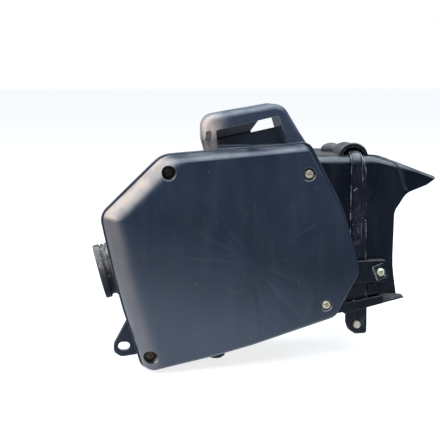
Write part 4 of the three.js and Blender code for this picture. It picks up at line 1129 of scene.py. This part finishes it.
def arch_points():
    """Half an ellipse outside, then back along the one inside."""
    points = []
    for (width, height), forwards in ((ARCH_OUTER, True), (ARCH_INNER, False)):
        for k in range(ARCH_STEPS + 1):
            angle = math.pi * (k if forwards else ARCH_STEPS - k) / ARCH_STEPS
            points.append((ARCH_X + width * math.cos(angle), ARCH_Z + height * math.sin(angle)))
    return points


def rod_along(line, radius, flatness=1.0, end_share=1.0, sides=10):
    """A bar along a line of points; its thickness in y and its ends can be smaller."""
    rings = []
    for i, here in enumerate(line):
        ahead = (line[min(i + 1, len(line) - 1)] - line[max(i - 1, 0)]).normalized()
        side = ahead.cross(ALONG_Y).normalized()
        out = side.cross(ahead).normalized()
        size = radius * (end_share if i in (0, len(line) - 1) else 1)
        turns = [2 * math.pi * k / sides for k in range(sides)]
        rings.append([here + side * size * math.cos(t) + out * size * flatness * math.sin(t) for t in turns])
    return loft(rings)


def on_surface(points, surface, reach):
    """Where lines along y through (x, z) points first meet a surface, up to a given y."""
    polygons = [p.vertices for p in surface.data.polygons]
    tree = BVHTree.FromPolygons([v.co for v in surface.data.vertices], polygons)
    hits = [tree.ray_cast(Vector((x, -50, z)), ALONG_Y)[0] for x, z in points]
    return [hit for hit in hits if hit is not None and hit.y < reach]


def smooth_line(points, steps=6):
    """A Catmull-Rom curve through the points."""
    line = []
    padded = [Vector(point) for point in (points[0], *points, points[-1])]
    for a, b, c, d in zip(padded, padded[1:], padded[2:], padded[3:]):
        for k in range(steps):
            t = k / steps
            square = (2 * a - 5 * b + 4 * c - d) * t**2
            line.append((2 * b + (c - a) * t + square + (3 * b - a - 3 * c + d) * t**3) / 2)
    return line + [padded[-1]]


def with_radius(radius, *points):
    return [(x, z, radius) for x, z in points]


def straps():
    """The strap and its feet across the stay, the pad beside it, and the strap and its feet lower down."""
    left, right, bottom, top = 107.9, 132.5, -41.5, -18.5
    ground = GUARD_NEAR + 1
    upper = prism(rectangle(left, right, bottom, top, 0.8), STRAP_FRONT, STRAP_BACK, rounded=0.5)
    front = STRAP_FRONT + 0.6
    feet = [box(x, x + 2, front, ground, bottom + 0.3, top - 0.3) for x in (left, right - 2.5)]
    pad = [(131, -42, 1), (149, -42, 3), (149, top, 3), (131, top, 1)]
    lower = with_radius(1, (103.5, -74.4), (146, -64.2), (146, -55.4), (103.5, -63.4))
    lower_feet = [
        with_radius(0.5, (103.5, -74.4), (106.2, -73.7), (106.2, -63), (103.5, -63.4)),
        with_radius(0.5, (142.6, -65), (146, -64.2), (146, -55.4), (142.6, -56)),
    ]
    return [
        upper,
        *feet,
        prism(pad, PAD_FRONT, ground, rounded=0.8, rounded_end=0),
        prism(lower, STRAP_FRONT, STRAP_BACK, rounded=0.5),
        *[prism(foot, STRAP_FRONT + 0.5, ground + 0.5) for foot in lower_feet],
    ]


def lip_plate():
    """The flared plate beside the lower strap; its top leans towards the case."""
    rings = []
    levels = [(17, -57.6, -59.4, -62.4), (21, -57, -57.2, -58.4), (26.5, -56.6, -55.6, -55.6)]
    for y, tip, middle, root in levels:
        corners = with_radius(0.4, (144, -64.5), (168.6, -58.8), (168, tip), (158, middle), (144, root))
        rings.append(ring(corners, y, math.pi))
    return loft(rings)


def gusset():
    corners = [(131, -56, 0.5), (142, -53.4, 0.5), (140, -45, 6), (131, -43.5, 0.5)]
    return prism(corners, 20.5, GUARD_NEAR + 1, rounded=0.4, rounded_end=0)


def web():
    corners = with_radius(1, (90, -75.2), (104.5, -73), (106.2, -52), (98, -50))
    return cut(prism(corners, 18.5, GUARD_NEAR + 1, rounded=0.5, rounded_end=0), case_room(GUARD_CLEARANCE))


def case_room(clearance):
    return prism(spread(CASE_BODY, clearance), -50, 300)


def mudguard():
    cavity = cut(guard_block(WALL, -8), case_room(GUARD_CLEARANCE + WALL))
    guard = cut(guard_block(0, 0), case_room(GUARD_CLEARANCE), cavity)
    ridge_line = on_surface(smooth_line(GUARD_RIDGE), guard, GUARD_NEAR + GUARD_SHOULDER)
    outer_arc = arch_points()[:ARCH_STEPS + 1]
    arch = join(between(arch_points(), ARCH_BACK, ARCH_FRONT), between(outer_arc, ARCH_BACK, ARCH_BACK - 1.5))
    lip = rod_along([Vector((x, ARCH_FRONT + 0.9, z)) for x, z in outer_arc], BEAD_RADIUS)
    guard = join(guard, arch, lip, rod_along(ridge_line, BEAD_RADIUS, 0.8, 0.35))
    guard = join(guard, *straps(), lip_plate(), gusset(), web())
    holes = [round_y(PAD_X, PAD_Z, CLEARANCE, 0, 60), rod((PLUG_X, PLUG_Y, 60), UP, PLUG_NECK + GAP, 60)]
    holes += [rod(middle, outward, CLEARANCE, 30) for middle, outward in GUARD_SCREWS]
    return cut(guard, *holes)


finished(mudguard(), "mudguard_moulding", "case", GUARD_PLASTIC, ["mudguard"], bevel=0.35)
for i, (middle, outward) in enumerate(GUARD_SCREWS):
    seat = middle + outward * (GUARD_CLEARANCE + WALL + GAP)
    fasten(f"guard_case_screw_{i + 1}", hex_bolt(14), seat, outward)


def top_plug():
    profile = [(0, -5), (PLUG_NECK - 0.4, -5), (PLUG_NECK, -4.6), (PLUG_NECK, GAP), (PLUG_RADIUS - 0.4, GAP),
               (PLUG_RADIUS, GAP + 0.4)]
    steps = 9
    for k in range(steps):
        angle = k / steps * math.pi / 2
        profile.append((PLUG_RADIUS * math.cos(angle), 1.6 + 7.4 * math.sin(angle)))
    profile.append((0, 9))
    return lathe(profile, (PLUG_X, PLUG_Y, GUARD_TOP))


finished(top_plug(), "domed_rubber_plug", "case", PLUG_RUBBER, ["top_plug"], bevel=0)

# ---- Stay ----


BEND_Y = STAY_FRONT + STAY_BEND + STAY_THICKNESS
BEND_Z = GUARD_TOP + 0.7 - STAY_BEND
BEND_STEPS = 14


def around_bend(radius, k):
    angle = math.pi - k / BEND_STEPS * math.pi / 2
    return BEND_Y + radius * math.cos(angle), BEND_Z + radius * math.sin(angle)


def stay_bead():
    """A wide rounded bead pressed up the stay and over its bend."""
    outer = STAY_BEND + STAY_THICKNESS
    stations = []
    for share in (0, 0.15, 0.4, 0.7, 1):
        z = BEAD_BOTTOM + 6 * share
        stations.append((STAY_FRONT, z, math.pi, math.sin(share * math.pi / 2)))
    for k in range(BEND_STEPS + 1):
        y, z = around_bend(outer, k)
        stations.append((y, z, math.pi - k / BEND_STEPS * math.pi / 2, 1))
    stations.append((BEND_Y + 2, BEND_Z + outer, math.pi / 2, 1))
    half = (BEAD_RIGHT - BEAD_LEFT) / 2
    steps = 16
    rings = []
    for y, z, angle, size in stations:
        out = Vector((0, math.cos(angle), math.sin(angle)))
        here = Vector((BEAD_LEFT + half, y, z))
        width = half * (0.55 + 0.45 * size)
        points = []
        for k in range(steps + 1):
            across = 2 * k / steps - 1
            swell = (1 - abs(across) ** 3) ** 0.7 * BEAD_HEIGHT * size
            points.append(here + out * (swell - 0.05) + Vector((across * width, 0, 0)))
        points += [here - out * 0.6 + Vector((across * half, 0, 0)) for across in (0.9, -0.9)]
        rings.append(points)
    return loft(rings)


def stay():
    outer = STAY_BEND + STAY_THICKNESS
    profile = [(STAY_FRONT, -110)]
    profile += [around_bend(outer, k) for k in range(BEND_STEPS + 1)]
    profile += [(STAY_TAIL, BEND_Z + outer), (STAY_TAIL, BEND_Z + STAY_BEND)]
    profile += [around_bend(STAY_BEND, k) for k in range(BEND_STEPS, -1, -1)]
    profile.append((STAY_FRONT + STAY_THICKNESS, -110))
    strip = loft([[Vector((x, y, z)) for y, z in profile] for x in (105, 135)])
    tab = [(106.8, -50, 6), (106.8, -84, 2), (109.3, -91.8, 5)]
    tab += [(117, -97.6, 6), (130, -97.4, 3), (130, -48, 8)]
    right_edge = [(STAY_RIGHT, -42, 8), (STAY_RIGHT - 1.5, 74, 6)]
    right_edge += [(STAY_TONGUE, 91, 6), (STAY_TONGUE, 120, 1)]
    left_edge = [(STAY_LEFT + 0.4, 120, 1), (STAY_LEFT, 84, 1), (STAY_LEFT, -44, 6)]
    face = tab + right_edge + left_edge
    blank = join(keep(strip, prism(face, 0, 100)), stay_bead())
    return cut(blank, round_y(*STAY_BOLT, CLEARANCE, 0, 60))


finished(stay(), "pressed_steel_stay", "case", STEEL, ["guard_stay"], bevel=0.4)
fasten("stay_bolt", hex_bolt(12, 3.9), (STAY_BOLT[0], STAY_FRONT - GAP, STAY_BOLT[1]), TO_COVER_SIDE, 0.3)
dress("stay_weld_nut", STEEL)

CLIP_THICKNESS = 1.6
clip = prism(rectangle(-7, 6.5, -8, 8, 1), -CLIP_THICKNESS, 0, rounded=0.3)
clip = join(clip, box(-7, -5.6, -2.4, -0.5, -6.5, 6.5), box(-3, 3, -2.1, -0.5, -4.6, -3.7))
clip = cut(clip, round_y(0, 0, CLEARANCE, -5, 5))
on_pad = Matrix.Translation((PAD_X, PAD_FRONT - GAP, PAD_Z))
clip.data.transform(on_pad @ Matrix.Rotation(math.radians(-20), 4, "Y"))
finished(clip, "spring_clip_nut", "case", STEEL, ["guard_clip_nut"], bevel=0.2)
seat = (PAD_X, PAD_FRONT - 2 * GAP - CLIP_THICKNESS, PAD_Z)
screw = pan_screw(14, 3.9)
fasten("guard_screw", screw, seat, TO_COVER_SIDE, 0.6, YELLOW_ZINC, bevel=PAN_BEVEL)

# ---- Studio ----


def studio():
    pale = {"Base_Color": (0.3, 0.3, 0.3, 1), "Emission_Color": (1, 1, 1, 1), "Emission_Strength": 0.8}
    material = Graph(bpy.data.materials.new("studio floor")).finish(**pale, Roughness=0.9)
    shape = bmesh.new()
    corners = rectangle(-30, 30, -30, 30, CAD_BOX[0][2])
    shape.faces.new([shape.verts.new(corner) for corner in corners])
    floor = to_object(shape, "floor")
    floor.data.materials.append(material)
    floor.visible_glossy = False
    surroundings()
    soft_light("overhead", (0.0, -0.35, 1.7), 3.2, 2.7, 155, (0.72, 0.86, 1.0))
    soft_light("left", (-1.8, -0.7, 0.2), 1.3, 1.3, 40, (1.0, 0.95, 0.90))


def surroundings():
    """A white backdrop. What the object reflects is dim in front, and bright above, behind and below."""
    world = bpy.data.worlds.new("studio")
    bpy.context.scene.world = world
    g = Graph(world)
    direction = g.add("ShaderNodeTexCoord").outputs["Generated"]
    below = g.times(g.fade(g.axis(direction, "Z"), -0.15, -0.45), 1.1)
    above = g.times(g.fade(g.axis(direction, "Z"), 0.2, 0.8), 0.6)
    behind = g.times(g.fade(g.axis(direction, "Y"), 0.1, 0.6), 0.4)
    level = g.math("ADD", g.math("MAXIMUM", g.math("MAXIMUM", below, above), behind), 0.05)
    soft = g.mix(level, (0.0, 0.0, 0.0), (0.74, 0.88, 1.0))
    seen = g.add("ShaderNodeLightPath").outputs["Is Camera Ray"]
    g.put(g.tree.nodes["Background"].inputs["Color"], g.mix(seen, soft, (1.0, 1.0, 1.0)))


def soft_light(name, where, width, height, power, colour):
    data = bpy.data.lights.new(name, "AREA")
    data.shape = "RECTANGLE"
    data.size = width
    data.size_y = height
    data.energy = power
    data.color = colour
    light = bpy.data.objects.new(name, data)
    bpy.context.scene.collection.objects.link(light)
    light.location = Vector(where)
    light.rotation_euler = Vector(where).to_track_quat("Z", "Y").to_euler()


studio()
bpy.context.scene.view_settings.view_transform = "Standard"
